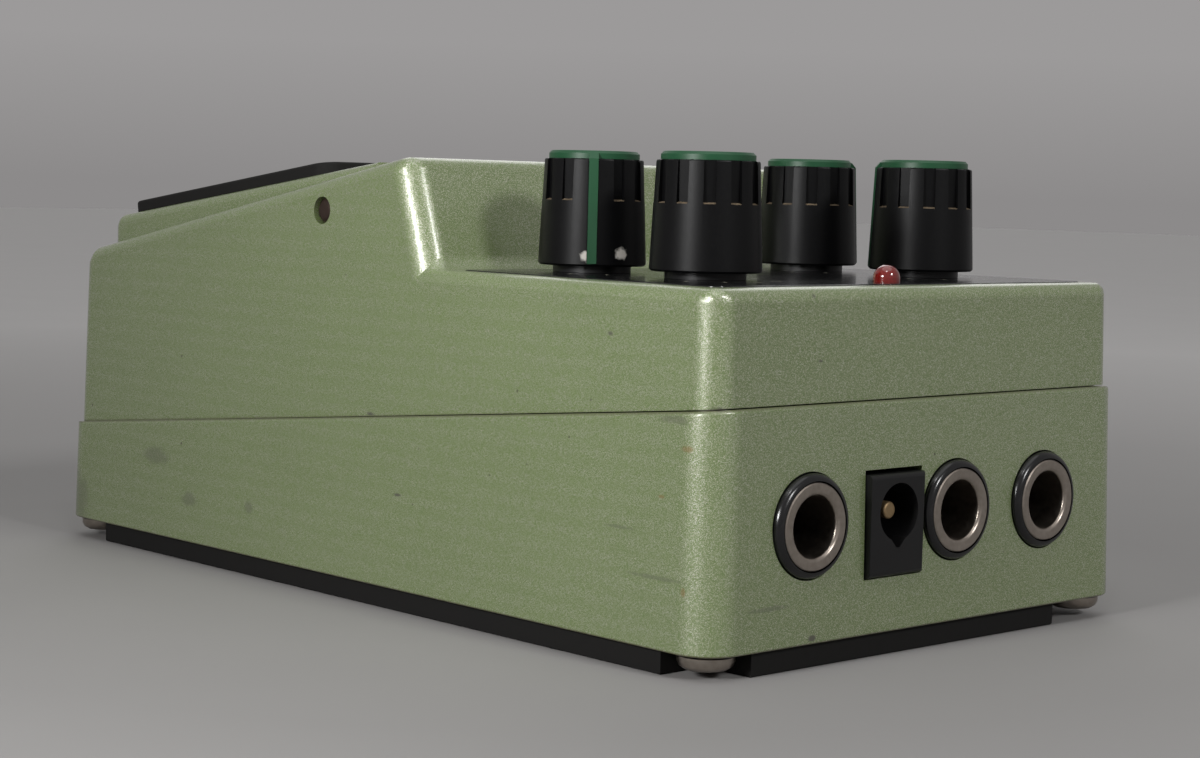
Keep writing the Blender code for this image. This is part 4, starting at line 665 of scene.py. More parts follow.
# %% Four knobs, each turned to its pointer's place
KNOB_Z = 40.4 * MM
KNOBS = {"level": (-1, 0, 133), "feedback": (1, 0, -137), "time": (-1, 1, -46),
         "mode": (1, 1, 43)}
controls = {}
for name, (side, row, turn) in KNOBS.items():
    for pattern in (knob, cap):
        piece = twin(pattern, f"dial_{pattern.name}_{name}", (0, 0, 0))
        piece.rotation_euler = (0, 0, -math.radians(turn))
        piece.location = (side * KNOB_X, KNOB_ROWS[row], KNOB_Z)
        settle(piece, f"dial_{pattern.name}_{name}")
        controls[f"{pattern.name}_{name}"] = piece
for pattern in (knob, cap):
    bpy.data.objects.remove(pattern)
print(len(controls), "knob pieces")

# %% The black ring nuts under the knobs
NUT, NUT_HEIGHT, NUT_EDGE = 8.9 * MM, 1.85 * MM, 0.2 * MM
nut_low = PANEL_TOP + 0.03 * MM
nut = turned("nut", [
    (POT_HOLE / 2, nut_low), (NUT / 2, nut_low), (NUT / 2, nut_low + NUT_HEIGHT - NUT_EDGE),
    (NUT / 2 - NUT_EDGE, nut_low + NUT_HEIGHT), (POT_HOLE / 2, nut_low + NUT_HEIGHT),
    (POT_HOLE / 2, nut_low)])
shade(nut)
report(nut)
nuts = {f"nut_{name}": twin(nut, f"ring_nut_{name}", (side * KNOB_X, KNOB_ROWS[row], 0))
        for name, (side, row, turn) in KNOBS.items()}
bpy.data.objects.remove(nut)

# %% [markdown]
# ## The sockets
#
# Each socket is a black glossy moulding whose collar shows as a rounded ring in the wall, with a
# turned and nickel-plated bush inside it. The bush has a flat face and a mouth that plugs have
# polished. The power inlet is a square moulding with a round bore, a keyway below it and a brass
# pin, and the wall leaves a thin dark slot above it.

# %% One socket and one bush
JACK_WIDTH, JACK_TALL, JACK_DEPTH, JACK_REST = 11.0 * MM, 13.0 * MM, 24.0 * MM, 2.0 * MM
COLLAR_PROUD, COLLAR_ROUND = 0.85 * MM, 0.78 * MM
BUSH, BUSH_PROUD, BUSH_LENGTH, BUSH_EDGE = 9.2 * MM, 0.9 * MM, 8.0 * MM, 0.12 * MM
BORE, MOUTH = 6.5 * MM, 0.45 * MM
wall_y = REAR - lean(JACK_Z)
body_front = REAR - LOWER_WALL - 0.3 * MM
face_y = wall_y + BUSH_PROUD
socket = block("socket", (-JACK_WIDTH / 2, body_front - JACK_DEPTH, JACK_Z - JACK_TALL / 2),
               (JACK_WIDTH / 2, body_front, JACK_Z + JACK_TALL / 2))
round_edges(socket, 0.4 * MM, 3, lambda edge: along(edge, 1) > 0.99)


def arc(radius, height, amount, steps):
    """Points round an outer edge, from the side to the face."""
    turns = [math.pi / 2 * step / steps for step in range(steps + 1)]
    return [(radius - amount * (1 - math.cos(turn)), height - amount * (1 - math.sin(turn)))
            for turn in turns]


ring = COLLAR / 2
ring_top = wall_y + COLLAR_PROUD
collar = turned("collar", [(ring, body_front - JACK_REST)]
                + arc(ring, ring_top, COLLAR_ROUND, 8), (0, 0, JACK_Z), "Y", 96)
bush_seat = rod("bush_seat", BUSH + 2 * SLIP, (0, face_y - BUSH_LENGTH - SLIP, JACK_Z),
                BUSH_LENGTH + OVERRUN, "Y", 96)
bore = rod("bore", BORE, (0, body_front - JACK_DEPTH + JACK_REST, JACK_Z), JACK_DEPTH + OVERRUN,
           "Y", 64)
combine(socket, [collar], "UNION")
combine(socket, [bush_seat, bore])
shade(socket)
report(socket)
inner, outer = BORE / 2, BUSH / 2
mouth = [(inner + MOUTH * (1 - math.cos(turn)), face_y - MOUTH * (1 - math.sin(turn)))
         for turn in [math.pi / 2 * step / 6 for step in range(7)]]
bush_rear = face_y - BUSH_LENGTH
bush = turned("bush", [(inner, bush_rear)] + mouth
              + [(outer - BUSH_EDGE, face_y), (outer, face_y - BUSH_EDGE), (outer, bush_rear),
                 (inner, bush_rear)], (0, 0, JACK_Z), "Y", 96)
shade(bush, 30)
report(bush)

# %% Three sockets in the rear wall
sockets = {}
for name, x in JACKS.items():
    sockets[f"jack_body_{name}"] = twin(socket, f"socket_{name}", (x, 0, 0))
    sockets[f"bush_{name}"] = twin(bush, f"socket_bush_{name}", (x, 0, 0))
for pattern in (socket, bush):
    bpy.data.objects.remove(pattern)
print(len(sockets), "socket pieces")

# %% The power inlet and its pin
INLET_DEPTH, INLET_PROUD, INLET_ROUND = 12.5 * MM, 0.8 * MM, 0.55 * MM
INLET_BORE, INLET_BORE_DEPTH, INLET_BORE_RISE = 6.2 * MM, 9.0 * MM, 1.4 * MM
KEY, KEY_TIP, KEY_DROP, KEY_DEPTH = 3.0 * MM, 0.5 * MM, 2.5 * MM, 0.75 * MM
PIN, PIN_SUNK, PIN_ROOT = 1.9 * MM, 1.3 * MM, 1.8 * MM
inlet_face = wall_y + INLET_PROUD
bore_z = INLET_Z + INLET_BORE_RISE
inlet = block("inlet", (INLET_X - INLET_WIDTH / 2, inlet_face - INLET_DEPTH,
                        INLET_Z - INLET_TALL / 2),
              (INLET_X + INLET_WIDTH / 2, inlet_face, INLET_Z + INLET_TALL / 2))
round_edges(inlet, INLET_ROUND, 5, lambda edge: middle(edge).y > inlet_face - MM
            and middle(edge).x < INLET_X + MM)
round_edges(inlet, 0.25 * MM, 3, lambda edge: middle(edge).y > inlet_face - NEAR
            and along(edge, 2) > 0.99 and middle(edge).x > INLET_X + MM)
key_foot = bore_z - INLET_BORE / 2 - KEY_DEPTH
key = block("key", (INLET_X - KEY / 2, inlet_face - INLET_BORE_DEPTH, key_foot),
            (INLET_X + KEY / 2, inlet_face + OVERRUN, bore_z - KEY_DROP))
for side in (-1, 1):
    for y in (inlet_face - INLET_BORE_DEPTH, inlet_face + OVERRUN):
        carry(key, (INLET_X + side * KEY / 2, y, key_foot),
              (INLET_X + side * KEY_TIP / 2, y, key_foot))
inlet_bore = rod("inlet_bore", INLET_BORE, (INLET_X, inlet_face - INLET_BORE_DEPTH, bore_z),
                 INLET_BORE_DEPTH + OVERRUN, "Y", 64)
root = rod("root", PIN + 2 * SLIP, (INLET_X, inlet_face - INLET_BORE_DEPTH - PIN_ROOT - 0.3 * MM,
                                    bore_z), PIN_ROOT + OVERRUN, "Y", 32)
combine(inlet, [key, inlet_bore, root])
shade(inlet)
report(inlet)
tip = PIN / 2
contact = turned("inlet_contact",
                 [(tip, inlet_face - INLET_BORE_DEPTH - PIN_ROOT)]
                 + arc(tip, inlet_face - PIN_SUNK, tip * 0.3, 4), (INLET_X, 0, bore_z), "Y", 48)
shade(contact)
report(contact)

# %% [markdown]
# ## The deck label, the lamp, the screws and the mat
#
# The label is a glossy black plate let into the deck, with a plain scale of ticks round each knob.
# The lamp is a red epoxy LED whose dome stands out of its hole. Pan-head screws close the base at
# its corners, and a black rubber mat, notched round them, keeps the pedal from sliding.

# %% The deck label
panel = block("deck_label", (-panel_half, panel_ys[0], PANEL_TOP - PANEL),
              (panel_half, panel_ys[1], PANEL_TOP))
round_edges(panel, PANEL_CORNER, 8, lambda edge: along(edge, 2) > 0.99)
round_edges(panel, 0.08 * MM, 2, lambda edge: edge.calc_face_angle(0) > 0.8
            and middle(edge).z > PANEL_TOP - PANEL / 2)
holes = [rod("label_hole", POT_HOLE, (side * KNOB_X, y, PANEL_TOP - 2 * PANEL), 4 * PANEL,
             sides=48) for side in (-1, 1) for y in KNOB_ROWS]
holes.append(rod("label_hole", LAMP_HOLE, (0, LAMP_Y, PANEL_TOP - 2 * PANEL), 4 * PANEL, sides=48))
combine(panel, holes)
shade(panel)
report(panel)

# %% The lamp
LAMP, LAMP_RISE, FLANGE, FLANGE_HEIGHT = 3.0 * MM, 2.0 * MM, 3.8 * MM, 1.0 * MM
LEG, LEG_PITCH = 0.5 * MM, 2.54 * MM
flange_top = DECK - ROOF - 0.3 * MM
lamp = turned("lamp_lens", [(FLANGE / 2, flange_top - FLANGE_HEIGHT), (FLANGE / 2, flange_top),
                            (LAMP / 2, flange_top)]
              + arc(LAMP / 2, DECK + LAMP_RISE, LAMP / 2 * 0.96, 12), (0, LAMP_Y, 0), sides=48)
legs_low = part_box("led")[0][2]
legs = [rod("leg", LEG, (side * LEG_PITCH / 2, LAMP_Y, legs_low),
            flange_top - FLANGE_HEIGHT / 2 - legs_low, sides=12) for side in (-1, 1)]
combine(lamp, legs, "UNION")
shade(lamp, 40)
report(lamp)

# %% The base screws
SCREW_SHANK, SCREW_HEAD, HEAD_HEIGHT = 3.0 * MM, 6.0 * MM, 1.6 * MM
SCREW_BITE = 8.5 * MM
under = BASE - 0.3 * MM
base_screws = {}
for index, (x, y) in enumerate(SCREWS):
    tall = seam(y) + SEAM + SCREW_BITE
    crown = [(SCREW_HEAD / 2 * share, under - HEAD_HEIGHT * rise) for share, rise in (
        (0.0333, 1.0), (0.45, 0.98), (0.75, 0.87), (0.92, 0.66), (1.0, 0.35), (1.0, 0.0))]
    screw = turned("screw", crown + [(SCREW_SHANK / 2, under), (SCREW_SHANK / 2, tall - SLIP),
                                     (SCREW_SHANK / 2 - SLIP, tall)], (x, y, 0), sides=48)
    for width, length in ((SCREW_HEAD / 2, SCREW_SHANK / 4), (SCREW_SHANK / 4, SCREW_HEAD / 2)):
        combine(screw, [block("slot", (x - width / 2, y - length / 2, under - 1.5 * HEAD_HEIGHT),
                              (x + width / 2, y + length / 2, under - HEAD_HEIGHT / 2))])
    shade(screw, 30)
    base_screws[f"base_screw_{index + 1}"] = settle(screw, f"pan_screw_{index + 1}")
report(screw)

# %% The mat
mat_low, mat_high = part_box("rubber_mat")
NOTCH = 6.5 * MM
WINDOW = (26.2 * MM, -51.070 * MM, -18.170 * MM, 2.0 * MM)
mat = block("base_mat", mat_low, mat_high)
cuts = [block("notch", (x - NOTCH, y - NOTCH, -OVERRUN), (x + NOTCH, y + NOTCH, 2 * OVERRUN))
        for x in (mat_low[0], mat_high[0]) for y in (mat_low[1], mat_high[1])]
window = block("window", (-WINDOW[0], WINDOW[1], -OVERRUN), (WINDOW[0], WINDOW[2], 2 * OVERRUN))
round_edges(window, WINDOW[3], 6, lambda edge: along(edge, 2) > 0.99)
combine(mat, cuts + [window])
round_edges(mat, 0.2 * MM, 2, lambda edge: edge.calc_face_angle(0) > 0.8
            and along(edge, 2) < 0.01 and middle(edge).z < mat_high[2] / 2)
shade(mat)
report(mat)

# %% [markdown]
# ## Materials
#
# Every finish is built from nodes on object coordinates, so its grain has a real size and stays
# on the piece when the piece moves. Colours are the enamel, rubber and metal under white light.

# %% Helpers: nodes and finishes
def linear(code):
    """A linear colour from an sRGB hex code."""
    shares = [int(code[index:index + 2], 16) / 255 for index in (1, 3, 5)]
    return [share / 12.92 if share <= 0.04045 else ((share + 0.055) / 1.055) ** 2.4
            for share in shares] + [1.0]


def add(tree, kind, inputs=None, **settings):
    """Adds a node, sets its properties, and sets or links its inputs."""
    node = tree.nodes.new(kind)
    for name, value in settings.items():
        setattr(node, name, value)
    for key, value in (inputs or {}).items():
        if isinstance(value, bpy.types.NodeSocket):
            tree.links.new(value, node.inputs[key])
        else:
            node.inputs[key].default_value = value
    return node


def start(name):
    made = bpy.data.materials.new(name)
    made.use_nodes = True
    tree = made.node_tree
    place = add(tree, "ShaderNodeTexCoord").outputs["Object"]
    return made, tree, tree.nodes["Principled BSDF"], place


def blend(tree, share, first, second):
    """A mix of two colours, each a hex code or a socket."""
    colours = [linear(value) if isinstance(value, str) else value for value in (first, second)]
    mix = add(tree, "ShaderNodeMix", {0: share, 6: colours[0], 7: colours[1]}, data_type="RGBA")
    return mix.outputs[2]


def count(tree, operation, *values, clamp=False):
    """A sum on numbers or sockets."""
    inputs = dict(enumerate(values))
    return add(tree, "ShaderNodeMath", inputs, operation=operation, use_clamp=clamp).outputs[0]


def finish(name, dark, light, rough, grain, bump=0.0, metal=0.0, **shader_inputs):
    """A plain finish: two near colours in a noise of a real grain size, with its own relief."""
    made, tree, shader, place = start(name)
    noise = add(tree, "ShaderNodeTexNoise", {"Vector": place, "Scale": 1 / grain, "Detail": 4.0})
    share = noise.outputs["Fac"]
    tree.links.new(blend(tree, share, dark, light), shader.inputs["Base Color"])
    low, high = rough
    spread = add(tree, "ShaderNodeMapRange", {"Value": share, "To Min": low, "To Max": high})
    tree.links.new(spread.outputs[0], shader.inputs["Roughness"])
    shader.inputs["Metallic"].default_value = metal
    for key, value in shader_inputs.items():
        shader.inputs[key.replace("_", " ")].default_value = value
    if bump:
        relief = add(tree, "ShaderNodeBump", {"Strength": 0.35, "Distance": bump,
                                              "Height": share})
        tree.links.new(relief.outputs[0], shader.inputs["Normal"])
    return made


# %% Where the enamel is worn
# Marks that the photograph shows: each has its place and its reach along x, y and z in mm
CHIPS = [((34.2, 45.3, 34.2), (1, 0.45, 0.3)), ((32.7, 61.0, 33.0), (0.6, 0.8, 0.5)),
         ((19.0, 61.0, 38.7), (0.55, 1, 0.5)), ((33.0, 60.6, 27.6), (1.2, 1.2, 0.35)),
         ((19.5, 61.9, 3.3), (0.6, 1, 0.4)), ((18.0, 61.0, 31.9), (0.5, 1, 0.2)),
         ((34.5, 5.0, 22.3), (1, 0.9, 0.3)), ((34.5, 11.6, 13.6), (1, 0.9, 0.2))]
RUST_SPOTS = [((34.9, 58.0, 23.4), (1, 0.8, 0.35)), ((34.9, 54.6, 18.3), (1, 0.5, 0.2)),
              ((34.9, 58.2, 9.0), (1, 0.3, 0.5)), ((33.0, 60.9, 30.0), (0.5, 0.6, 0.5))]
SMUDGES = [((34.9, 56.2, 26.2), (1, 3.0, 0.5)), ((34.9, 54.3, 10.0), (1, 4.5, 0.25)),
           ((34.9, -31.5, 8.2), (1, 1.8, 1.0)), ((34.9, -18.2, 8.6), (1, 1.0, 0.8)),
           ((34.9, -39.5, 13.0), (1, 3.0, 1.2)), ((34.9, -59.5, 5.0), (2.5, 3.5, 4.0)),
           ((34.9, 48.6, 14.5), (1, 2.2, 0.2)), ((-33.5, 60.5, 3.6), (2.0, 2.0, 1.2)),
           ((26.0, 61.9, 7.0), (3.0, 1, 0.3))]


def wear(tree, place, ragged, marks):
    """How strongly a group of marks shows at a place; noise makes their outlines ragged."""
    nearest = 9.0
    for centre, reach in marks:
        offset = add(tree, "ShaderNodeVectorMath", {0: place, 1: Vector(centre) * MM},
                     operation="SUBTRACT").outputs[0]
        scaled = add(tree, "ShaderNodeVectorMath", {0: offset, 1: Vector(reach) * MM},
                     operation="DIVIDE").outputs[0]
        far = add(tree, "ShaderNodeVectorMath", {0: scaled}, operation="LENGTH").outputs["Value"]
        nearest = count(tree, "MINIMUM", nearest, far)
    edge = count(tree, "ADD", nearest, count(tree, "MULTIPLY", ragged, 1.6))
    shown = add(tree, "ShaderNodeMapRange", {"Value": edge, "From Min": 1.9, "From Max": 1.4})
    return shown.outputs[0]


# %% Sage enamel on the castings and the treadle
def enamel():
    """Stoved metallic enamel: a sage base full of fine aluminium flake under a thin clear skin.
    It is sprayed and baked, so it pulls back from edges and has a slight orange peel. Grime has
    settled along the parting line and at the bottom edge, and small chips show dark zinc."""
    made, tree, shader, place = start("sage_metallic_enamel")
    cloud = add(tree, "ShaderNodeTexNoise", {"Vector": place, "Scale": 1 / (24 * MM),
                                             "Detail": 5.0, "Roughness": 0.6})
    base = blend(tree, cloud.outputs["Fac"], "#657743", "#70824E")
    cells = add(tree, "ShaderNodeTexVoronoi", {"Vector": place, "Scale": 1 / (0.045 * MM)})
    lottery = add(tree, "ShaderNodeSeparateColor", {"Color": cells.outputs["Color"]}).outputs[0]
    flake = add(tree, "ShaderNodeMapRange", {"Value": lottery, "From Min": 0.72,
                                             "From Max": 0.88}).outputs[0]
    base = blend(tree, flake, base, "#DBD8CD")
    spots = add(tree, "ShaderNodeTexNoise", {"Vector": place, "Scale": 1 / (0.9 * MM),
                                             "Detail": 2.0, "Roughness": 0.4})
    specks = add(tree, "ShaderNodeMapRange", {"Value": spots.outputs["Fac"], "From Min": 0.775,
                                              "From Max": 0.8})
    parts = add(tree, "ShaderNodeSeparateXYZ", {"Vector": place}).outputs
    rise = (SEAM_REAR - SEAM_FRONT) / (REAR - FRONT)
    line = count(tree, "ADD", count(tree, "MULTIPLY", parts["Y"], rise), seam(0))
    gap = count(tree, "ABSOLUTE", count(tree, "SUBTRACT", parts["Z"], line))
    ragged = add(tree, "ShaderNodeTexNoise", {"Vector": place, "Scale": 1 / (0.9 * MM),
                                              "Detail": 5.0, "Roughness": 0.7}).outputs["Fac"]
    reach = count(tree, "MULTIPLY", ragged, 0.55 * MM)
    grime = add(tree, "ShaderNodeMapRange", {"Value": gap, "From Min": reach,
                                             "From Max": 0.05 * MM})
    foot = count(tree, "SUBTRACT", parts["Z"], BASE)
    rust = add(tree, "ShaderNodeMapRange", {"Value": foot, "From Min": reach,
                                            "From Max": 0.05 * MM})
    base = blend(tree, count(tree, "MULTIPLY", grime.outputs[0], 0.6, clamp=True), base,
                 "#45401F")
    base = blend(tree, count(tree, "MULTIPLY", rust.outputs[0], 0.8, clamp=True), base,
                 "#4E3A26")
    base = blend(tree, specks.outputs[0], base, "#4A4835")
    for colour, strength, marks in (("#4E4B42", 0.9, CHIPS), ("#7E6228", 0.6, RUST_SPOTS),
                                    ("#595A4C", 0.45, SMUDGES)):
        shown = count(tree, "MULTIPLY", wear(tree, place, ragged, marks), strength)
        base = blend(tree, shown, base, colour)
    tree.links.new(base, shader.inputs["Base Color"])
    tree.links.new(flake, shader.inputs["Metallic"])
    matt = add(tree, "ShaderNodeMapRange", {"Value": cloud.outputs["Fac"], "To Min": 0.43,
                                            "To Max": 0.5})
    tree.links.new(matt.outputs[0], shader.inputs["Roughness"])
    shader.inputs["Coat Weight"].default_value = 1.0
    shader.inputs["Coat Roughness"].default_value = 0.2
    peel = add(tree, "ShaderNodeTexNoise", {"Vector": place, "Scale": 1 / (0.8 * MM)})
    relief = add(tree, "ShaderNodeBump", {"Strength": 0.25, "Distance": 0.03 * MM,
                                          "Height": peel.outputs["Fac"]})
    tree.links.new(relief.outputs[0], shader.inputs["Normal"])
    return made


sage = enamel()
print(sage.name, len(sage.node_tree.nodes), "nodes")


# %% Deck label with its scales
def label():
    """Screen-printed label: gloss black over a thin sheet, with cream ticks every 30 degrees
    round each knob. It mirrors the knobs' skirts and hides its own colour."""
    made, tree, shader, place = start("gloss_black_label")
    parts = add(tree, "ShaderNodeSeparateXYZ", {"Vector": place}).outputs
    across = count(tree, "SUBTRACT", count(tree, "ABSOLUTE", parts["X"]), KNOB_X)
    row = KNOB_ROWS[0] - KNOB_ROWS[1]
    running = count(tree, "WRAP", count(tree, "SUBTRACT", parts["Y"], KNOB_ROWS[1]), row / 2,
                    -row / 2)
    signed = count(tree, "MULTIPLY", across, count(tree, "SIGN", parts["X"]))
    radius = count(tree, "SQRT", count(tree, "ADD", count(tree, "MULTIPLY", across, across),
                                       count(tree, "MULTIPLY", running, running)))
    turn = count(tree, "ARCTAN2", signed, running)
    step = math.radians(30)
    off = count(tree, "ABSOLUTE", count(tree, "WRAP", turn, step / 2, -step / 2))
    width = count(tree, "MULTIPLY", off, radius)
    tick = count(tree, "LESS_THAN", width, 0.16 * MM)
    for operation, limit in (("GREATER_THAN", 7.3 * MM), ("LESS_THAN", 8.5 * MM)):
        tick = count(tree, "MULTIPLY", tick, count(tree, operation, radius, limit))
    tick = count(tree, "MULTIPLY", tick, count(tree, "LESS_THAN", parts["Y"],
                                               KNOB_ROWS[0] + row / 2))
    open_side = count(tree, "LESS_THAN", count(tree, "ABSOLUTE", turn), math.radians(165))
    tick = count(tree, "MULTIPLY", tick, open_side)
    haze = add(tree, "ShaderNodeTexNoise", {"Vector": place, "Scale": 1 / (6 * MM),
                                            "Detail": 6.0})
    ground = blend(tree, haze.outputs["Fac"], "#0C0C0D", "#1A1A1B")
    tree.links.new(blend(tree, tick, ground, "#C8C4B2"), shader.inputs["Base Color"])
    spread = add(tree, "ShaderNodeMapRange", {"Value": haze.outputs["Fac"], "To Min": 0.08,
                                              "To Max": 0.24})
    tree.links.new(spread.outputs[0], shader.inputs["Roughness"])
    return made


gloss_label = label()
print(gloss_label.name, len(gloss_label.node_tree.nodes), "nodes")

# %% Rubber, mouldings and the lamp
# Moulded natural rubber: dull black, greyed by floor dust in its pores
rubber = finish("black_floor_rubber", "#0C0B0B", "#171614", (0.72, 0.9), 1.2 * MM, 0.05 * MM,
                Specular_IOR_Level=0.3)
# Moulded ABS of the knobs: fine spark-eroded texture, rubbed to a soft sheen by fingers
knob_black = finish("rubbed_black_abs", "#060607", "#0B0B0C", (0.34, 0.46), 0.35 * MM, 0.012 * MM,
                    Specular_IOR_Level=0.16)
PAINT_DOTS = [((22.8, 29.3, 41.5), (0.6, 0.6, 0.6)), ((19.2, 31.3, 41.9), (0.75, 0.7, 0.7))]


def soil_and_highlight(made):
    """Adds a pale line on the pockets' shelves: skin dust and a painted highlight, laid only on
    their upward-facing faces where the light from above falls; and two drops of old paint on one
    skirt.
    """
    tree, shader = made.node_tree, made.node_tree.nodes["Principled BSDF"]
    where = add(tree, "ShaderNodeTexCoord").outputs
    shelf = KNOB_Z + KNOB_HEIGHT - POCKET_HEIGHT
    facing = add(tree, "ShaderNodeSeparateXYZ", {"Vector": where["Normal"]}).outputs["Z"]
    z = add(tree, "ShaderNodeSeparateXYZ", {"Vector": where["Object"]}).outputs["Z"]
    near = count(tree, "LESS_THAN", count(tree, "ABSOLUTE", count(tree, "SUBTRACT", z, shelf)),
                 POCKET_DEPTH)
    ragged = add(tree, "ShaderNodeTexNoise", {"Vector": where["Object"],
                                              "Scale": 1 / (0.5 * MM)}).outputs["Fac"]
    upward = add(tree, "ShaderNodeMapRange", {"Value": facing, "From Min": 0.3, "From Max": 0.6})
    # Dust and painted highlight: the pale shelf colour goes only on faces that point up, where
    # light from above falls
    dust_and_highlight = count(tree, "MULTIPLY", count(tree, "MULTIPLY", near, upward.outputs[0]), ragged)
    clean = shader.inputs["Base Color"].links[0].from_socket
    base_with_dust_and_highlight = blend(tree, dust_and_highlight, clean, "#9C8A72")
    painted = blend(tree, wear(tree, where["Object"], ragged, PAINT_DOTS), base_with_dust_and_highlight, "#C4C0B8")
    tree.links.new(painted, shader.inputs["Base Color"])


soil_and_highlight(knob_black)
# Coloured ABS of the discs and strips: clean deep green with a satin skin
cap_green = finish("green_abs", "#0F4426", "#134C2D", (0.34, 0.46), 3 * MM, 0.01 * MM)
# Phenolic socket body and collar: glossy as moulded, with a few dull rubs
collar_black = finish("glossy_black_phenolic", "#0B0B0C", "#161617", (0.12, 0.3), 2.2 * MM)
# Moulded inlet, nuts and door: plain black thermoplastic with a satin surface
satin_black = finish("satin_black_moulding", "#09090A", "#101011", (0.34, 0.5), 1.5 * MM,
                     0.01 * MM, Specular_IOR_Level=0.35)
# Red diffused epoxy of the lamp: cast in a polished mould, dark while it is off
lens_red = finish("red_cast_epoxy", "#6A1512", "#7C1E19", (0.05, 0.1), 2 * MM,
                  Coat_Weight=1.0, Coat_Roughness=0.03, Subsurface_Weight=0.2,
                  Subsurface_Scale=0.001)

# %% Metals
# Nickel plate on turned brass: a warm grey, worn to a soft brushed sheen
nickel = finish("worn_nickel_plate", "#8C837A", "#B0A79D", (0.24, 0.42), 0.6 * MM, 0.006 * MM,
                metal=1.0)
# Turned brass of the inlet's pin, dulled by its own oxide
brass = finish("dull_brass", "#8C7454", "#AE9672", (0.4, 0.6), 0.3 * MM, metal=0.8)
# Zinc-plated pressed steel: cool grey with a faint crystalline grain
zinc = finish("zinc_plated_steel", "#9A9B9C", "#BDBDBB", (0.3, 0.48), 2 * MM, 0.01 * MM,
              metal=1.0)
# Oiled spring and pin steel: darker, drawn through a die and handled
dark_steel = finish("oiled_drawn_steel", "#4C4A47", "#6E6B66", (0.3, 0.45), 0.8 * MM, metal=1.0)
# Bare end of the drawn pin: browned by rust and hand grime in its hole
rusty_pin = finish("browned_pin_steel", "#241A15", "#43332A", (0.5, 0.75), 0.5 * MM, 0.02 * MM,
                   metal=0.5)

# %% Pieces inside
# Solder mask over copper: dark green varnish, glossy over the tracks
board = finish("green_solder_mask", "#0F3A22", "#1B5532", (0.2, 0.35), 1.5 * MM, 0.02 * MM)
# Moulded chip epoxy: matt near-black with a fine filler grain
epoxy = finish("moulded_chip_epoxy", "#161616", "#222222", (0.55, 0.7), 0.3 * MM, 0.01 * MM)
# Shrunk capacitor sleeve: blue-black PVC with a soft shine
sleeve = finish("shrunk_pvc_sleeve", "#15202E", "#1E2C3E", (0.25, 0.38), 2 * MM)
# Ribbon of bonded wires: grey PVC, slightly waxy
ribbon = finish("grey_ribbon_pvc", "#77777A", "#8B8B8E", (0.4, 0.5), 1.2 * MM)
# Battery jacket: lacquered steel foil wrapped round the cells
jacket = finish("lacquered_battery_jacket", "#2B2E33", "#3A3E44", (0.25, 0.35), 4 * MM,
                metal=0.4)
print(len(bpy.data.materials), "materials")

# %% [markdown]
# ## Who wears what, and what moves with what
#
# A modelled piece stands for its CAD node and rides on that node's body. The CAD nodes that keep
# their own mesh only get their finish.

# %% Modelled pieces on their bodies
body_of = {node: body for body, nodes in frame["record"]["behaviour"]["bodies"].items()
           for node in nodes}
dressed = {"upper_case": (upper, sage), "lower_case": (lower, sage),
           "treadle_plate": (treadle, sage), "treadle_pad": (pad, rubber),
           "rubber_mat": (mat, rubber), "hinge_pin": (pin, rusty_pin),
           "control_panel": (panel, gloss_label), "return_spring": (spring, dark_steel),
           "led": (lamp, lens_red), "dc_inlet": (inlet, satin_black),
           "dc_pin": (contact, brass)}
dressed.update({node: (piece, knob_black if node.startswith("knob") else cap_green)
                for node, piece in controls.items()})
dressed.update({node: (piece, nickel if node.startswith("bush") else collar_black)
                for node, piece in sockets.items()})
dressed.update({node: (piece, nickel) for node, piece in base_screws.items()})
dressed.update({node: (piece, satin_black) for node, piece in nuts.items()})
for node, (piece, skin) in dressed.items():
    piece.data.materials.clear()
    piece.data.materials.append(skin)
    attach(piece, body_of[node])
    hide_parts(node)
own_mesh(spring)
print(len(dressed), "modelled pieces")

# %% CAD nodes that keep their own mesh
kept = {"bottom_plate": zinc,
        "switch_body": satin_black, "switch_nut": zinc, "switch_plunger": zinc,
        "battery_door": satin_black, "main_board": board, "control_board": board,
        "board_link": ribbon, "delay_chip": epoxy, "memory_chip": epoxy,
        "filter_capacitor": sleeve, "battery": jacket, "battery_snap": satin_black}
for name in KNOBS:
    kept.update({f"pot_{name}": zinc, f"shaft_{name}": zinc})
for node, skin in kept.items():
    for material_slot in frame["nodes"][node].material_slots:
        material_slot.material = skin
missing = set(frame["nodes"]) - set(kept) - set(dressed)
print(len(kept), "kept nodes; without a finish:", sorted(missing))

# %% [markdown]
# ## Floor and light
#
# A pale floor and a plain soft studio. The floor is painted darker near the pedal and lighter
# further out: painted light and shade that even out the lamps' falloff. A small key beyond the
# long side draws the soft upright line down each knob, a softbox behind the jacks lights the
# ridge, and a small one hangs high over the panel. Even light from the ceiling and from the front
# left fills the shadows. The camera and the glossy faces see the paper's grey, and the rest is lit
# by a dimmer room.

# %% Floor and background
leave_edit()
bpy.ops.mesh.primitive_plane_add(size=6, location=(0, 0, 0))
floor = settle(bpy.context.object, "floor")
made, tree, shader, place = start("pale_paper")
fibre = add(tree, "ShaderNodeTexNoise", {"Vector": place, "Scale": 1 / (40 * MM), "Detail": 3.0})
# Painted light and shade: the paper is darker close to the pedal and lighter further out, to even
# out the lamps' light, which falls off with distance
far = add(tree, "ShaderNodeVectorMath", {0: place}, operation="LENGTH").outputs["Value"]
painted_light_outward = add(tree, "ShaderNodeMapRange", {"Value": far, "From Min": 0.09, "From Max": 0.5})
tone = blend(tree, painted_light_outward.outputs[0], "#949291", "#DAD8D7")
tree.links.new(blend(tree, count(tree, "MULTIPLY", fibre.outputs["Fac"], 0.12), tone, "#B4B2B0"),
               shader.inputs["Base Color"])
shader.inputs["Roughness"].default_value = 0.85
floor.data.materials.append(made)

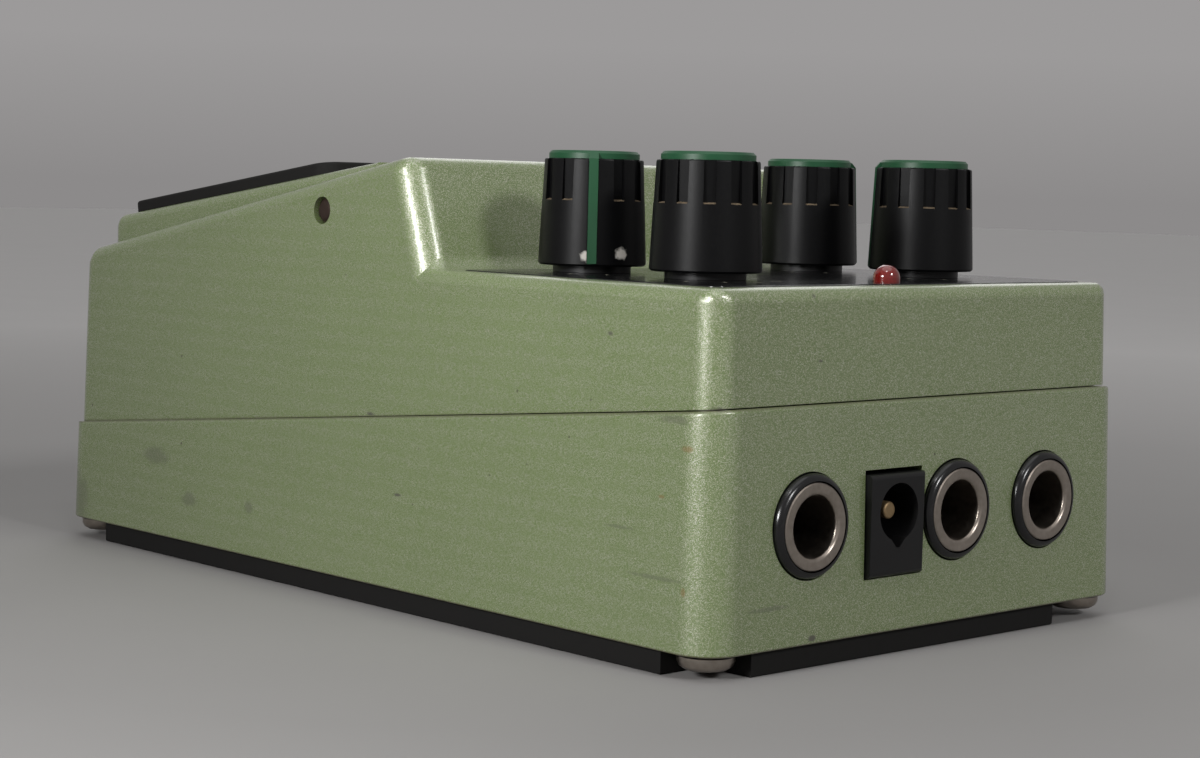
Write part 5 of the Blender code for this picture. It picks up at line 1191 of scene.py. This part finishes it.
# %% The paper backdrop's tone and the dim room
world = bpy.data.worlds.new("studio")
bpy.context.scene.world = world
world.use_nodes = True
tree = world.node_tree
sky = add(tree, "ShaderNodeTexCoord").outputs["Generated"]
height = add(tree, "ShaderNodeSeparateXYZ", {"Vector": sky}).outputs["Z"]
rise = add(tree, "ShaderNodeMapRange", {"Value": height, "From Min": 0.0, "From Max": 0.06})
paper = blend(tree, rise.outputs[0], "#8C8A8A", "#9C9A9A")
seen = add(tree, "ShaderNodeBackground", {"Color": paper})
room = tree.nodes["Background"]
room.inputs["Color"].default_value = linear("#C6C4C4")
room.inputs["Strength"].default_value = 0.12
ray = add(tree, "ShaderNodeLightPath").outputs
shown = count(tree, "ADD", ray["Is Camera Ray"],
              count(tree, "ADD", ray["Is Glossy Ray"], ray["Is Transmission Ray"]), clamp=True)
both = add(tree, "ShaderNodeMixShader", {0: shown, 1: room.outputs[0], 2: seen.outputs[0]})
tree.links.new(both.outputs[0], tree.nodes["World Output"].inputs["Surface"])
print("the camera and the glossy faces see paper grey; a dimmer room lights the rest")


# %% Lights
def light(name, place, aim, size, power, spread=180):
    """A square softbox; a spread below 180 degrees stands for the grid over its front."""
    data = bpy.data.lights.new(name, "AREA")
    data.size = size
    data.energy = power
    data.spread = math.radians(spread)
    lamp_object = bpy.data.objects.new(name, data)
    bpy.context.scene.collection.objects.link(lamp_object)
    lamp_object.location = place
    lamp_object.rotation_euler = (Vector(aim) - Vector(place)).to_track_quat(
        "-Z", "Y").to_euler()


def distant(name, toward, strength, width):
    """Even light from one side of the room, as wide as the angle that it spans."""
    data = bpy.data.lights.new(name, "SUN")
    data.energy = strength
    data.angle = math.radians(width)
    source = bpy.data.objects.new(name, data)
    bpy.context.scene.collection.objects.link(source)
    source.rotation_euler = Vector(toward).to_track_quat("Z", "Y").to_euler()


light("key", (0.28, 0.072, 0.116), (0.03, 0.03, 0.05), 0.055, 0.105, 75)
light("behind", (0.0, 0.75, 0.47), (0, 0.02, 0.04), 0.14, 2.4)
light("high", (0.11, 0.14, 0.29), (0, 0.04, 0.04), 0.04, 0.07)
distant("ceiling", (0, 0, 1), 0.6, 60)
distant("fill", (-1, -1, 0.9), 0.42, 40)
print("three softboxes, a ceiling light and a fill over the", floor.name)
